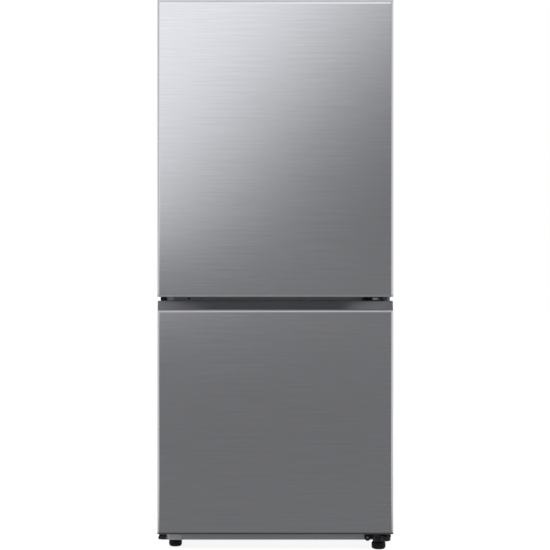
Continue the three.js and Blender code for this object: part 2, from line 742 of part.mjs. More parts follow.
// Open-topped tub with a front panel. Its own origin is at the middle of the panel's foot.
function tub({ half, depth, height, wall, radius, shrink, panelHalf, panelBottom, panelTop, panelThickness, grip }) {
  const middle = (panelThickness + depth) / 2;
  const outer = prism('z', roundedRect(-half, half, 2, depth, radius), 0, height);
  const inner = prism('z', roundedRect(-half + wall, half - wall, panelThickness, depth - wall, radius - wall),
    wall, height + 5);
  const walls = drafted(outer, 0, height, 0, middle, shrink, shrink / 2);
  const room = drafted(inner, 0, height, 0, middle, shrink, shrink / 2);
  const panel = prism('y', roundedRect(-panelHalf, panelHalf, panelBottom, panelTop, 6), 0, panelThickness);
  const front = block(-half * 2, half * 2, 0, panelThickness, -50, height * 2);
  const gripCut = prism('x', polygon([
    [-1, panelTop - grip], [panelThickness * 0.6, panelTop - grip + 6], [panelThickness * 0.6, panelTop + 1],
    [-1, panelTop + 1]
  ]), -grip * 2.6, grip * 2.6);
  return walls.subtract(front).add(panel).subtract(room).subtract(gripCut);
}

function crisper(name, side) {
  const half = (cavityHalf - crisperSideGap - crisperGap / 2) / 2;
  const body = tub({
    half, depth: crisperDepth, height: crisperHeight, wall: drawerWall, radius: 16, shrink: 0.06,
    panelHalf: half, panelBottom: 0, panelTop: crisperHeight, panelThickness: 8, grip: 22
  });
  const x = side * (half + crisperGap / 2);
  return piece(name, body, paint.clearPlastic, x, cabinetFrontY + crisperFront, mullionTop + clearance);
}

// ---------------------------------------------------------------- freezer room

function freezerDrawer(name, index) {
  const half = cavityHalf - runnerWidth - 4;
  const back = index === 0 ? stepDepth - lowDrawerBackGap : coldCoverDepth - drawerBackGap;
  const depth = back - drawerFront;
  const height = drawerHeight(index);
  const body = tub({
    half, depth, height, wall: drawerWall, radius: 18, shrink: 0.04, panelHalf: cavityHalf - 3,
    panelBottom: -2, panelTop: drawerPanelHeight(index) - 2, panelThickness: drawerPanel, grip: 30
  });
  const flange = [-1, 1].map((side) => {
    const edge = side * (cavityHalf - 3);
    const root = side * (half - 1.5);
    return block(Math.min(edge, root), Math.max(edge, root), drawerPanel - 2, depth - 24,
      height - drawerFlange, height);
  });
  return piece(name, joined([body, ...flange]), paint.clearPlastic, 0, cabinetFrontY + drawerFront,
    drawerLevel(index));
}

function coldCover() {
  const half = cavityHalf - clearance;
  const bottom = stepTop + clearance;
  const top = mullionBottom - clearance;
  const front = coldCoverDepth;
  const panel = block(-half, half, front, front + coldCoverThickness, bottom, top);
  const returns = [-1, 1].map((side) => block(
    Math.min(side * half, side * (half - 2.5)), Math.max(side * half, side * (half - 2.5)),
    front, cavityDepth - clearance, bottom, top));
  const vents = [];
  [0.12, 0.45, 0.9].forEach((share) => {
    const z = bottom + (top - bottom) * share;
    [-210, -110, 110, 210].forEach((x) => vents.push(
      block(x - 38, x + 38, front - 1, front + 5, z, z + 9)));
  });
  return piece('freezer_duct_cover', without(joined([panel, ...returns]), vents), paint.whitePlastic);
}

// Serpentine tube through a pack of plate fins. Tubes run along X, the pack is centred on the origin.
function finCoil({ length, depth, height, fins, rows, tubeRadius, endDrop, endBack }) {
  const pitch = height / rows;
  const parts = [];
  for (let i = 0; i < fins; i += 1) {
    const x = -length / 2 + length * i / (fins - 1);
    const isEnd = i === 0 || i === fins - 1;
    parts.push(block(x - 0.7, x + 0.7, -depth / 2, depth / 2 + (isEnd ? endBack : 0),
      -height / 2 - (isEnd ? endDrop : 0), height / 2));
  }
  for (let row = 0; row < rows; row += 1) {
    const z = -height / 2 + pitch * (row + 0.5);
    parts.push(rod('x', tubeRadius, -length / 2 - 10, length / 2 + 10, 0, z, 6));
    if (row < rows - 1) {
      const side = row % 2 === 0 ? 1 : -1;
      parts.push(returnBend(side * (length / 2 + 9), side, z + pitch / 2, pitch / 2, tubeRadius));
    }
  }
  return joined(parts);
}

function returnBend(x, side, z, bendRadius, tubeRadius) {
  const start = side > 0 ? -Math.PI / 2 : Math.PI / 2;
  const shape = new THREE.Shape();
  shape.absarc(x, z, bendRadius + tubeRadius * 0.9, start, start + Math.PI, false);
  shape.absarc(x, z, bendRadius - tubeRadius * 0.9, start + Math.PI, start, true);
  return prism('y', shape, -tubeRadius * 0.8, tubeRadius * 0.8, 3);
}

function evaporator() {
  const endBack = 16;
  const middle = cavityDepth - clearance - endBack - evaporatorDepth / 2;
  const height = mullionBottom - stepTop - evaporatorRise - fanBayHeight;
  const body = finCoil({ length: 2 * (cavityHalf - evaporatorInset), depth: evaporatorDepth, height, fins: 8,
    rows: 4, tubeRadius: 4.5, endDrop: 0, endBack });
  return piece('evaporator', body, paint.aluminium, 0, middle, stepTop + evaporatorRise + height / 2);
}

// Hub with pitched blades about Z, bored for the motor's shaft.
function fanWheel() {
  const hub = rod('z', fanHubRadius, -fanHubLength / 2, fanHubLength / 2, 0, 0, 16);
  const blade = new THREE.Shape();
  blade.moveTo(fanHubRadius - 3, -9);
  blade.quadraticCurveTo(fanRadius * 0.7, -20, fanRadius - 2, -17);
  blade.quadraticCurveTo(fanRadius + 2, 0, fanRadius - 4, 15);
  blade.quadraticCurveTo(fanRadius * 0.6, 14, fanHubRadius - 3, 8);
  const pitchDegrees = 28;
  const plate = prism('z', blade, -0.9, 0.9, 3).rotate([pitchDegrees, 0, 0]);
  const blades = [];
  for (let i = 0; i < fanBlades; i += 1) {
    blades.push(plate.rotate([0, 0, 360 * i / fanBlades]));
  }
  const bore = rod('z', fanShaftRadius + clearance, -fanHubLength, fanHubLength, 0, 0, 16);
  return joined([hub, ...blades]).subtract(bore);
}

// Motor can with its shaft towards -Z and a cross of arms, about Z.
function fanMotor(armReach) {
  const canFront = fanHubLength / 2 + fanMotorGap;
  const armBack = canFront + fanMotorLength;
  const can = rod('z', 20, canFront, armBack, 0, 0, 16);
  const shaft = rod('z', fanShaftRadius, -fanHubLength / 2, canFront + 1, 0, 0, 16);
  const arms = [
    block(-armReach, armReach, -4, 4, armBack - 7, armBack),
    block(-4, 4, -armReach, armReach, armBack - 7, armBack)
  ];
  return joined([can, shaft, ...arms]);
}

// Turns a solid made about Z so that its -Z end faces the front.
function facingFront(solid) {
  return solid.rotate([-90, 0, 0]);
}

function evaporatorFanPlace() {
  return {
    depth: coldCoverDepth + coldCoverThickness + evaporatorFanGap,
    z: mullionBottom - evaporatorFanDrop
  };
}

function evaporatorFanMotor() {
  const place = evaporatorFanPlace();
  const reach = fanRadius + 14;
  const armBack = fanHubLength / 2 + fanMotorGap + fanMotorLength;
  const coverBehind = coldCoverDepth + coldCoverThickness + clearance - place.depth;
  const posts = [[1, 0], [-1, 0], [0, 1], [0, -1]].map(([u, v]) => block(
    u * (reach - 4) - 4, u * (reach - 4) + 4, v * (reach - 4) - 4, v * (reach - 4) + 4,
    coverBehind, armBack));
  const body = facingFront(joined([fanMotor(reach), ...posts]));
  return piece('evaporator_fan_motor', body, paint.blackPlastic, 0, place.depth, place.z);
}

function evaporatorFan() {
  const place = evaporatorFanPlace();
  return piece('evaporator_fan', facingFront(fanWheel()), paint.blackPlastic,
    0, cabinetFrontY + place.depth, place.z);
}

// ---------------------------------------------------------------- machine room

function compressor() {
  const r = compressorRadius;
  const lift = compressorLift;
  const seam = compressorHeight / 2;
  const top = lift + compressorHeight;
  const shell = turned([
    [0, lift], [r * 0.6, lift + 3], [r * 0.92, lift + 18], [r, lift + 40],
    [r, lift + seam - 1], [r + 4, lift + seam - 1], [r + 4, lift + seam + 5], [r, lift + seam + 5],
    [r, top - 44], [r * 0.9, top - 20], [r * 0.55, top - 4], [0, top]
  ], 20);
  const plate = prism('z', roundedRect(-88, 88, -56, 56, 14), 12, lift + 3);
  const feet = [-1, 1].flatMap((u) => [-1, 1].map((v) => rod('z', 10, 0, 13, u * 74, v * 42, 10)));
  const terminalBox = prism('z', roundedRect(54, 92, -22, 22, 4), lift + 34, lift + 82);
  const pipes = [-1, 1].map((side) => rod('z', 4, lift + 100, lift + 164, side * 40, 20, 8));
  return piece('compressor', joined([shell, plate, ...feet, terminalBox, ...pipes]), paint.blackSteel,
    compressorX, machineMiddle, machineFloor);
}

function condenser() {
  const body = finCoil({ length: condenserLength, depth: condenserDepth, height: condenserHeight, fins: 7,
    rows: 3, tubeRadius: 4, endDrop: condenserFeet, endBack: 0 });
  return piece('condenser', body, paint.blackSteel, condenserX, machineMiddle,
    machineFloor + condenserFeet + condenserHeight / 2);
}

function drainTray() {
  const bottom = machineFloor + condenserFeet + condenserHeight + clearance;
  const halfDepth = condenserDepth / 2 + 6;
  const outline = (inset) => roundedRect(condenserX - trayHalfWidth + inset, condenserX + trayHalfWidth - inset,
    machineMiddle - halfDepth + inset, machineMiddle + halfDepth - inset, 10 - inset);
  const outer = prism('z', outline(0), bottom, bottom + trayHeight);
  const inner = prism('z', outline(trayWall), bottom + trayWall, bottom + trayHeight + 6);
  return piece('drain_tray', outer.subtract(inner), paint.darkPlastic);
}

function condenserFanFrame() {
  const body = facingFront(fanMotor(fanRadius + 12)).rotate([0, 0, -90]);
  const armBack = fanHubLength / 2 + fanMotorGap + fanMotorLength;
  const half = condenserFanRise;
  const plate = prism('x', roundedRect(-half, half, -half, half + 6, 8), armBack - 4, armBack);
  const opening = rod('x', fanRadius + 6, armBack - 5, armBack + 1, 0, 0, 24);
  return piece('condenser_fan_frame', plate.subtract(opening).add(body), paint.darkPlastic,
    condenserFanX, machineMiddle, machineFloor + condenserFanRise);
}

function condenserFan() {
  return piece('condenser_fan', facingFront(fanWheel()).rotate([0, 0, -90]), paint.blackPlastic,
    condenserFanX, cabinetFrontY + machineMiddle, machineFloor + condenserFanRise);
}

// Shallow tray over the machine room, with rows of louvres and an opening for the mains inlet.
function machineRoomCover() {
  const half = insideHalf;
  const bottom = machineFloor;
  const top = machineRoomTop - clearance;
  const front = cabinetDepth - 20;
  const back = cabinetDepth + coverBulge;
  const wall = 1.6;
  const outer = prism('y', roundedRect(-half, half, bottom, top, 8), front, back);
  const inner = prism('y', roundedRect(-half + wall, half - wall, bottom + wall, top - wall, 8 - wall),
    front - 1, back - wall);
  const slots = [];
  for (let row = 0; row < 7; row += 1) {
    for (let column = 0; column < 3; column += 1) {
      const x = compressorX + column * louvrePitch;
      const z = bottom + 45 + row * louvreRowPitch;
      slots.push(block(x - louvreHalf, x + louvreHalf, back - 3, back + 1, z, z + 6));
    }
  }
  const inletHole = block(inletX - inletHalfWidth, inletX + inletHalfWidth, back - 3, back + 1,
    inletHeight - inletHalfHeight, inletHeight + inletHalfHeight);
  return piece('machine_room_cover', without(outer, [inner, ...slots, inletHole]), paint.galvanised);
}

function mainsInlet() {
  const back = cabinetDepth + coverBulge;
  const half = inletHalfWidth - clearance;
  const halfHeight = inletHalfHeight - clearance;
  const rim = 5;
  const body = block(inletX - half, inletX + half, back - 22, back,
    inletHeight - halfHeight, inletHeight + halfHeight);
  const recess = block(inletX - inletHalfWidth + rim, inletX + inletHalfWidth - rim, back - 16, back + 1,
    inletHeight - inletHalfHeight + rim, inletHeight + inletHalfHeight - rim);
  const pins = [-6, 0, 6].map((x) => block(inletX + x - 1, inletX + x + 1, back - 17, back - 8,
    inletHeight - 2, inletHeight + 2));
  return piece('mains_inlet', joined([body.subtract(recess), ...pins]), paint.blackPlastic);
}

// ---------------------------------------------------------------- doors
// A door's own origin is on the floor of the door, in the middle of its front face; +Y goes into the door.

function doorOutline(half, front, back, radius) {
  const shape = new THREE.Shape();
  shape.moveTo(half, back);
  shape.lineTo(-half, back);
  shape.absarc(-half + radius, front + radius, radius, Math.PI, 1.5 * Math.PI, false);
  shape.absarc(half - radius, front + radius, radius, 1.5 * Math.PI, 2 * Math.PI, false);
  return shape;
}

// Steel skin with rounded side edges, turned-in rear edges and a bevel along its top.
function doorSkin(name, bottom, top, bevelHeight, bevelDepth) {
  const start = top - bevelHeight;
  const bevel = skinSection(start, top).warp((point) => {
    if (point[2] > start + bevelHeight / 2) {
      point[1] += bevelDepth * (1 - point[1] / skinDepth);
    }
  });
  return piece(name, skinSection(bottom, start).add(bevel), paint.brushedSteel);
}

function skinSection(bottom, top) {
  const t = doorSkinSteel;
  const r = doorEdgeRadius;
  const returnX = doorHalf - skinReturn;
  const shape = new THREE.Shape();
  shape.moveTo(-returnX, skinDepth);
  shape.lineTo(-doorHalf, skinDepth);
  shape.absarc(-doorHalf + r, r, r, Math.PI, 1.5 * Math.PI, false);
  shape.absarc(doorHalf - r, r, r, 1.5 * Math.PI, 2 * Math.PI, false);
  shape.lineTo(doorHalf, skinDepth);
  shape.lineTo(returnX, skinDepth);
  shape.lineTo(returnX, skinDepth - t);
  shape.lineTo(doorHalf - t, skinDepth - t);
  shape.absarc(doorHalf - r, r, r - t, 2 * Math.PI, 1.5 * Math.PI, true);
  shape.absarc(-doorHalf + r, r, r - t, 1.5 * Math.PI, Math.PI, true);
  shape.lineTo(-doorHalf + t, skinDepth - t);
  shape.lineTo(-returnX, skinDepth - t);
  return prism('z', shape, bottom, top, 3);
}

// Block that takes a hinge pin inside the door, on the hinge side and in the same place on the other side.
function hingeBosses(bottom, top) {
  const halfBoss = 18;
  return [-1, 1].map((side) => block(side * hingeX - halfBoss, side * hingeX + halfBoss,
    doorEdgeRadius + 1, skinDepth - 6, bottom, top));
}

function pinBore(from, to) {
  return rod('z', pinRadius + clearance, from, to, hingeX, hingeBack, 16);
}

function endCap(name, height, isTop, finish) {
  const bossDepth = pinEngagement + 3 - height;
  const front = isTop ? topBevelDepth : 0;
  const plate = prism('z', doorOutline(doorHalf, front, doorThickness, doorEdgeRadius), 0, height, 3);
  const bosses = hingeBosses(height - 1, height + bossDepth);
  const cap = joined([plate, ...bosses]).subtract(pinBore(-1, pinEngagement + 1));
  return isTop
    ? piece(name, cap.mirror([0, 0, 1]), finish, 0, 0, fridgeDoorHeight)
    : piece(name, cap, finish);
}

// Top of the freezer door: a sloped edge with a scoop for the fingers.
function gripCap() {
  const half = doorHalf - gripCapInset;
  const bottom = freezerDoorHeight - gripCapHeight + clearance;
  const top = freezerDoorHeight;
  const body = prism('x', polygon([
    [gripBevelDepth + clearance, bottom], [doorThickness, bottom], [doorThickness, top], [gripSlopeDepth, top]
  ]), -half, half);
  const plugHalf = doorHalf - skinReturn - 4;
  const plug = block(-plugHalf, plugHalf, 8, skinDepth - 2, bottom - 12, bottom + 1);
  const scoopHalf = doorHalf - scoopInset;
  const steps = 8;
  const wall = Array.from({ length: steps + 1 }, (unused, i) => [
    scoopHalf - scoopRun * i / steps, (scoopReach + 2) * (1 - Math.cos(Math.PI * i / steps)) / 2 - 2
  ]);
  const scoop = polygon([...wall, ...wall.map(([x, y]) => [-x, y]).reverse()]);
  const cut = drafted(prism('z', scoop, bottom + 1.5, top + 1), bottom, top, 0, 0, 0.08, 0.15);
  return piece('freezer_door_grip_cap', body.add(plug).subtract(cut)
    .subtract(pinBore(top - pinEngagement - 1, top + 1)), paint.darkPlastic);
}

function doorLiner(name, bottom, top, rimBottom, rimTop) {
  const base = skinDepth + clearance;
  const t = doorLinerThickness;
  const half = doorHalf - 0.5;
  const rimHalf = cavityHalf - rimClearance - 5;
  const rimBack = doorThickness + doorGap + rimReach;
  const plate = prism('y', roundedRect(-half, half, bottom, top, 4), base, doorThickness);
  const ridge = rimRing(rimHalf, rimBottom, rimTop, 0, doorThickness - 1, rimBack);
  const pan = block(-gasketHalf, gasketHalf, base - 1, doorThickness - t, bottom + 18, top - 18);
  const hollow = rimRing(rimHalf, rimBottom, rimTop, t, base - 1, rimBack - t);
  return piece(name, plate.add(ridge).subtract(pan).subtract(hollow), paint.whitePlastic);
}

// Raised rim of a door liner, drawn in by an inset for its inside.
function rimRing(half, bottom, top, inset, y0, y1) {
  const outer = roundedRect(-half + inset, half - inset, bottom + inset, top - inset, 14 - inset);
  outer.holes.push(roundedRect(-half + rimWidth - inset, half - rimWidth + inset,
    bottom + rimWidth - inset, top - rimWidth + inset, 10 + inset));
  return prism('y', outer, y0, y1);
}

function doorFoam(name, bottom, top) {
  const inset = doorSkinSteel + clearance;
  const shape = doorOutline(doorHalf - inset, inset, skinDepth - inset, doorEdgeRadius - inset);
  return piece(name, prism('z', shape, bottom, top, 3), paint.foam);
}

function gasket(name, bottom, top) {
  const back = doorThickness + clearance;
  const front = doorThickness + doorGap - clearance;
  const lip = (inset, y0, y1) => {
    const outer = roundedRect(-gasketHalf + inset, gasketHalf - inset, bottom + inset, top - inset, 6);
    outer.holes.push(roundedRect(-gasketHalf + gasketWidth - inset, gasketHalf - gasketWidth + inset,
      bottom + gasketWidth - inset, top - gasketWidth + inset, 4));
    return prism('y', outer, y0, y1, 1);
  };
  const waist = 4;
  return piece(name, joined([
    lip(0, back, back + 4), lip(waist, back + 3, front - 3), lip(1, front - 4, front)
  ]), paint.rubber);
}

function doorBin(index) {
  const half = cavityHalf - rimClearance - 5 - rimWidth - clearance;
  const height = index === 0 ? lowBinHeight : upperBinHeight;
  const frontHeight = height - binFrontDrop;
  const start = doorThickness + clearance;
  const end = start + binReach;
  const outer = prism('z', roundedRect(-half, half, start, end, 12), 0, height);
  const inner = prism('z', roundedRect(-half + binWall, half - binWall, start + binWall, end - binWall, 12 - binWall),
    binWall, height + 1);
  const sideCut = prism('x', polygon([
    [start - 1, height + 1], [start - 1, height - 8], [end - 30, frontHeight], [end + 1, frontHeight],
    [end + 1, height + 1]
  ]), -half + binWall + 8, half - binWall - 8);
  const beadHeight = 5;
  const bead = block(-half + 12, half - 12, end - binWall - 2, end, frontHeight - beadHeight, frontHeight);
  const rim = sideCut.intersect(block(-half, half, end - binWall - 3, end + 2, 0, height + 2));
  return piece(`door_bin_${index + 1}`, without(outer, [inner, rim]).add(bead), paint.clearPlastic,
    0, 0, mullionTop + lowBinRise + index * binPitch - fridgeDoorBottom);
}

// Stop that hangs under the free corner of the freezer door.
function cornerStop() {
  const left = -doorHalf + 3;
  const posts = [[2, 9], [17, 22]].map(([from, to]) => block(left + from, left + to, 16, 30, -8, -clearance));
  const pad = prism('y', roundedRect(left, left + 24, -17, -6, 4), 12, 34);
  return piece('freezer_door_corner_stop', joined([pad, ...posts]), paint.blackPlastic);
}

// ---------------------------------------------------------------- assembly

function group(x, y, z, children) {
  const whole = new THREE.Group();
  whole.position.set(x, y, z);
  whole.add(...children);
  return whole;
}

const cabinet = group(0, cabinetFrontY, 0, [
  outerWrapper(), backPanel(), basePan(), frontBaseRail(), footBracketLeft(), centreRail(),
  freshFoodLiner(), freezerLiner(), cabinetFoam(),
  bottomHinge(), middleHinge(), topHinge(), topHingeCover(), gapPlug(),
  ...shelf('crisper_cover', shelfLevels()[0], true),
  ...shelf('lower_shelf', shelfLevels()[1], false),
  ...shelf('upper_shelf', shelfLevels()[2], false),
  airDuctCover(), lampLens(), coldCover(), evaporator(), evaporatorFanMotor(),
  compressor(), condenser(), drainTray(), condenserFanFrame(), machineRoomCover(), mainsInlet()
]);

const fridgeDoor = group(0, frontY, fridgeDoorBottom, [
  doorSkin('fridge_door_skin', fridgeCapHeight + clearance, fridgeDoorHeight - fridgeCapHeight - clearance,
    topBevelHeight, topBevelDepth),
  endCap('fridge_door_top_cap', fridgeCapHeight, true, paint.greyPlastic),
  endCap('fridge_door_bottom_cap', fridgeCapHeight, false, paint.greyPlastic),
  doorFoam('fridge_door_foam', pinEngagement + 4, fridgeDoorHeight - pinEngagement - 4),
  doorLiner('fridge_door_liner', fridgeCapHeight + clearance, fridgeDoorHeight - fridgeCapHeight - clearance,
    mullionTop + rimClearance - fridgeDoorBottom, fridgeCavityTop - rimClearance - fridgeDoorBottom),
  gasket('fridge_door_gasket', gapCentre + gasketMullionInset - fridgeDoorBottom,
    cabinetTop - gasketTopInset - fridgeDoorBottom),
  doorBin(0), doorBin(1), doorBin(2)
]);

const freezerDoor = group(0, frontY, freezerDoorBottom, [
  doorSkin('freezer_door_skin', freezerFootHeight + clearance, freezerDoorHeight - gripCapHeight,
    gripBevelHeight, gripBevelDepth),
  gripCap(),
  endCap('freezer_door_bottom_cap', freezerFootHeight, false, paint.darkPlastic),
  doorFoam('freezer_door_foam', pinEngagement + 4, freezerDoorHeight - gripCapHeight - 14),
  doorLiner('freezer_door_liner', freezerFootHeight + clearance, freezerDoorHeight - gripCapHeight,
    freezerFloor + rimClearance - freezerDoorBottom, mullionBottom - rimClearance - freezerDoorBottom),
  gasket('freezer_door_gasket', freezerFloor - gasketFloorInset - freezerDoorBottom,
    gapCentre - gasketMullionInset - freezerDoorBottom),
  cornerStop()
]);

const refrigerator = group(0, 0, 0, [
  cabinet, fridgeDoor, freezerDoor,
  crisper('crisper_left', -1), crisper('crisper_right', 1), humiditySlider(),
  freezerDrawer('freezer_drawer_low', 0), freezerDrawer('freezer_drawer_middle', 1),
  freezerDrawer('freezer_drawer_top', 2),
  evaporatorFan(), condenserFan(),
  rearRoller('rear_roller_left', -1), rearRoller('rear_roller_right', 1),
  levellingFoot('foot_left', leftFootRadius, leftFootHeight, leftFootHeight + 22, leftFootX, leftFootDepth),
  levellingFoot('foot_right', rightFootRadius, rightFootHeight, rightFootHeight + 17, rightFootX,
    rightFootDepth)
]);

export default refrigerator;
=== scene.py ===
# Bottom freezer refrigerator: the looks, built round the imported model.
# Metres, +Z up, the doors face -Y and both hinge on the right.

import json
import math

import bmesh
import bpy
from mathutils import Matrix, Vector


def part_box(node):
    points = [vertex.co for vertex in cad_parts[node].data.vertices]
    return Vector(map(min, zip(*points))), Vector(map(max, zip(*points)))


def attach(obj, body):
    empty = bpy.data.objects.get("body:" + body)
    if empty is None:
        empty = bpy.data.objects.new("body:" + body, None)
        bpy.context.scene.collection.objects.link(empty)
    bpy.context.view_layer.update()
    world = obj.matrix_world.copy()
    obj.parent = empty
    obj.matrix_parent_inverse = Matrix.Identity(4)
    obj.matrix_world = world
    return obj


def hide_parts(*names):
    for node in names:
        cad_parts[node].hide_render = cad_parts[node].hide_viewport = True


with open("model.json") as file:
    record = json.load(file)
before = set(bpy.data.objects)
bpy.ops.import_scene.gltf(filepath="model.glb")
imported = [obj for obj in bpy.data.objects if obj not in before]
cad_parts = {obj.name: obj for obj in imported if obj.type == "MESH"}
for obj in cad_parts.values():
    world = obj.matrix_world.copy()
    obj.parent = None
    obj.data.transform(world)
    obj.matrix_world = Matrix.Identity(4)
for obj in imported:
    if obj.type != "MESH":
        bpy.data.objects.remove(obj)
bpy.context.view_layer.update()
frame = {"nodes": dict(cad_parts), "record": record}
scene = bpy.context.scene
slotOf = {part["node"]: part["material_slot"] for part in frame["record"]["subparts"]}
print("frame loaded:", len(frame["nodes"]), "nodes")


# Camera, straight at the doors from about five metres

cameraSet = {
    "place": (-0.001, -4.858, 0.819),
    "lens": 99.6,  # millimetres on a 36 mm sensor
    "clip": (0.05, 60.0),
}
cameraData = bpy.data.cameras.new("camera")
cameraData.lens = cameraSet["lens"]
cameraData.clip_start, cameraData.clip_end = cameraSet["clip"]
camera = bpy.data.objects.new("camera", cameraData)
camera.location = cameraSet["place"]
camera.rotation_euler = (math.radians(90), 0, 0)
scene.collection.objects.link(camera)
scene.camera = camera
scene.view_settings.view_transform = "Standard"


# Nodes and colours

def linear(code, alpha=1.0):  # sRGB hex to linear
    channels = [int(code[i:i + 2], 16) / 255 for i in (1, 3, 5)]
    return tuple(c / 12.92 if c <= 0.04045 else ((c + 0.055) / 1.055) ** 2.4 for c in channels) + (alpha,)


def addNode(tree, kind, values=None, links=None, **settings):
    node = tree.nodes.new(kind)
    for name, value in settings.items():
        setattr(node, name, value)
    for socket, value in (values or {}).items():
        node.inputs[socket].default_value = value
    for socket, source in (links or {}).items():
        tree.links.new(source, node.inputs[socket])
    return node


def setRamp(node, stops):  # colour ramp stops as (position, hex or grey)
    ramp = node.color_ramp
    while len(ramp.elements) < len(stops):
        ramp.elements.new(1.0)
    for element, (position, tone) in zip(ramp.elements, stops):
        element.position = position
        element.color = linear(tone) if isinstance(tone, str) else (tone, tone, tone, 1)


def emptyMaterial(name):
    material = bpy.data.materials.new(name)
    material.use_nodes = True
    tree = material.node_tree
    tree.nodes.clear()
    return material, tree


# Stage: white world and floor, soft lamps, and reflector cards that only the metal sees

stageSet = {
    "worldLight": 0.57,  # on the object
    "worldSeen": 1.0,  # behind the object and in its gloss
    "floorSize": 60.0,
    "floorColour": "#A2A2A2",
    "floorLift": 0.85,  # added where a ray sees the floor, so that it looks white
    "lamps": {  # watts, size, place and aim
        "keySoftbox": (118.0, (2.0, 2.4), (-2.6, -3.4, 3.0), (0, 0, 0.9)),
        "fillSoftbox": (54.0, (2.0, 2.4), (3.0, -2.6, 1.6), (0, 0, 0.8)),
        "topSoftbox": (48.0, (2.4, 2.4), (0, 1.0, 4.2), (0, 0, 1.2)),
    },
}
white = (1, 1, 1, 1)


def seenShare(tree):  # 1 on rays that show the stage itself: to the camera, in gloss and through glass
    ray = addNode(tree, "ShaderNodeLightPath")
    seen = addNode(tree, "ShaderNodeMath", operation="ADD", use_clamp=True,
                   links={0: ray.outputs["Is Camera Ray"], 1: ray.outputs["Is Glossy Ray"]})
    seen = addNode(tree, "ShaderNodeMath", operation="ADD", use_clamp=True,
                   links={0: seen.outputs[0], 1: ray.outputs["Is Transmission Ray"]})
    return seen.outputs[0]


world = bpy.data.worlds.new("studio")
scene.world = world
world.use_nodes = True
tree = world.node_tree
tree.nodes.clear()
light = addNode(tree, "ShaderNodeBackground", {"Color": white, "Strength": stageSet["worldLight"]})
backdrop = addNode(tree, "ShaderNodeBackground", {"Color": white, "Strength": stageSet["worldSeen"]})
mix = addNode(tree, "ShaderNodeMixShader",
              links={0: seenShare(tree), 1: light.outputs[0], 2: backdrop.outputs[0]})
addNode(tree, "ShaderNodeOutputWorld", links={"Surface": mix.outputs[0]})


def stagePlane(name, width, height, place, turn, material, taper=1.0):
    mesh = bpy.data.meshes.new(name)
    corners = [(-width / 2, -height / 2, 0), (width / 2, -height / 2, 0),
               (width / 2 * taper, height / 2, 0), (-width / 2 * taper, height / 2, 0)]
    mesh.from_pydata(corners, [], [(0, 1, 2, 3)])
    mesh.materials.append(material)
    plane = bpy.data.objects.new(name, mesh)
    plane.location = place
    plane.rotation_euler = [math.radians(a) for a in turn]
    scene.collection.objects.link(plane)
    return plane


# Studio floor: matt, so it keeps the shadow, and lifted to white where a ray sees it
floorMaterial, tree = emptyMaterial("studioFloorMattWhite")
lift = addNode(tree, "ShaderNodeMath", {1: stageSet["floorLift"]}, {0: seenShare(tree)}, operation="MULTIPLY")
matt = addNode(tree, "ShaderNodeBsdfDiffuse", {"Color": linear(stageSet["floorColour"])})
glow = addNode(tree, "ShaderNodeEmission", {"Color": white}, {"Strength": lift.outputs[0]})
both = addNode(tree, "ShaderNodeAddShader", links={0: matt.outputs[0], 1: glow.outputs[0]})
addNode(tree, "ShaderNodeOutputMaterial", links={"Surface": both.outputs[0]})
stagePlane("studioFloor", stageSet["floorSize"], stageSet["floorSize"], (0, 0, 0), (0, 0, 0), floorMaterial)


def areaLamp(name, watts, size, place, aim):
    lampData = bpy.data.lights.new(name, "AREA")
    lampData.shape = "RECTANGLE"
    lampData.size, lampData.size_y = size
    lampData.energy = watts
    lamp = bpy.data.objects.new(name, lampData)
    lamp.location = place
    lamp.rotation_mode = "QUATERNION"
    lamp.rotation_quaternion = (Vector(aim) - Vector(place)).to_track_quat("-Z", "Y")
    lamp.visible_glossy = False  # the cards stand for the lamps in the steel
    scene.collection.objects.link(lamp)


for name, lampSet in stageSet["lamps"].items():
    areaLamp(name, *lampSet)

# Graded card in front of the doors: bright where the softbox stands, upper left, and dim low on the right
cardSet = {
    "distance": 3.0,  # in front of the origin
    "sides": (-2.5, 1.6),  # narrower on the right, where the side card reaches further forwards
    "heights": (-0.02, 4.2),
    "lean": (0.76, 1.08),  # heights between which the grade turns from level to its full slant
    "slant": 0.86,
    "start": -0.5,  # metres along the grade
    "end": 2.7,
    "steps": [(-0.5, 0.35), (0.3, 0.35), (0.6, 0.37), (0.9, 0.44), (1.15, 0.56), (1.4, 0.78), (1.7, 1.15),
              (2.0, 1.53), (2.3, 1.83), (2.7, 2.00)],
    "brightest": 2.1,
    "fadeLeft": (-2.5, -1.7),  # it ends softly, so that no edge shows in the steel from other sides
    "fadeRight": (1.6, 1.25),
}
floorCardSet = {
    "tone": 0.36,
    "half": 1.8,
    "clear": 0.40,  # from the origin
    "rise": 0.002,
    "taper": 0.45,
    "fade": (0.28, 0.70, 0.30),  # start and end beside the object, and how fast they spread forwards
}
sideCardSet = {
    "tone": 1.5,
    "height": 3.4,
    "middle": 1.68,
    "cards": {"leftCard": (4.0, -3.0, 0.6), "rightCard": (5.0, 3.0, 0.1)},  # length, and middle of each
}

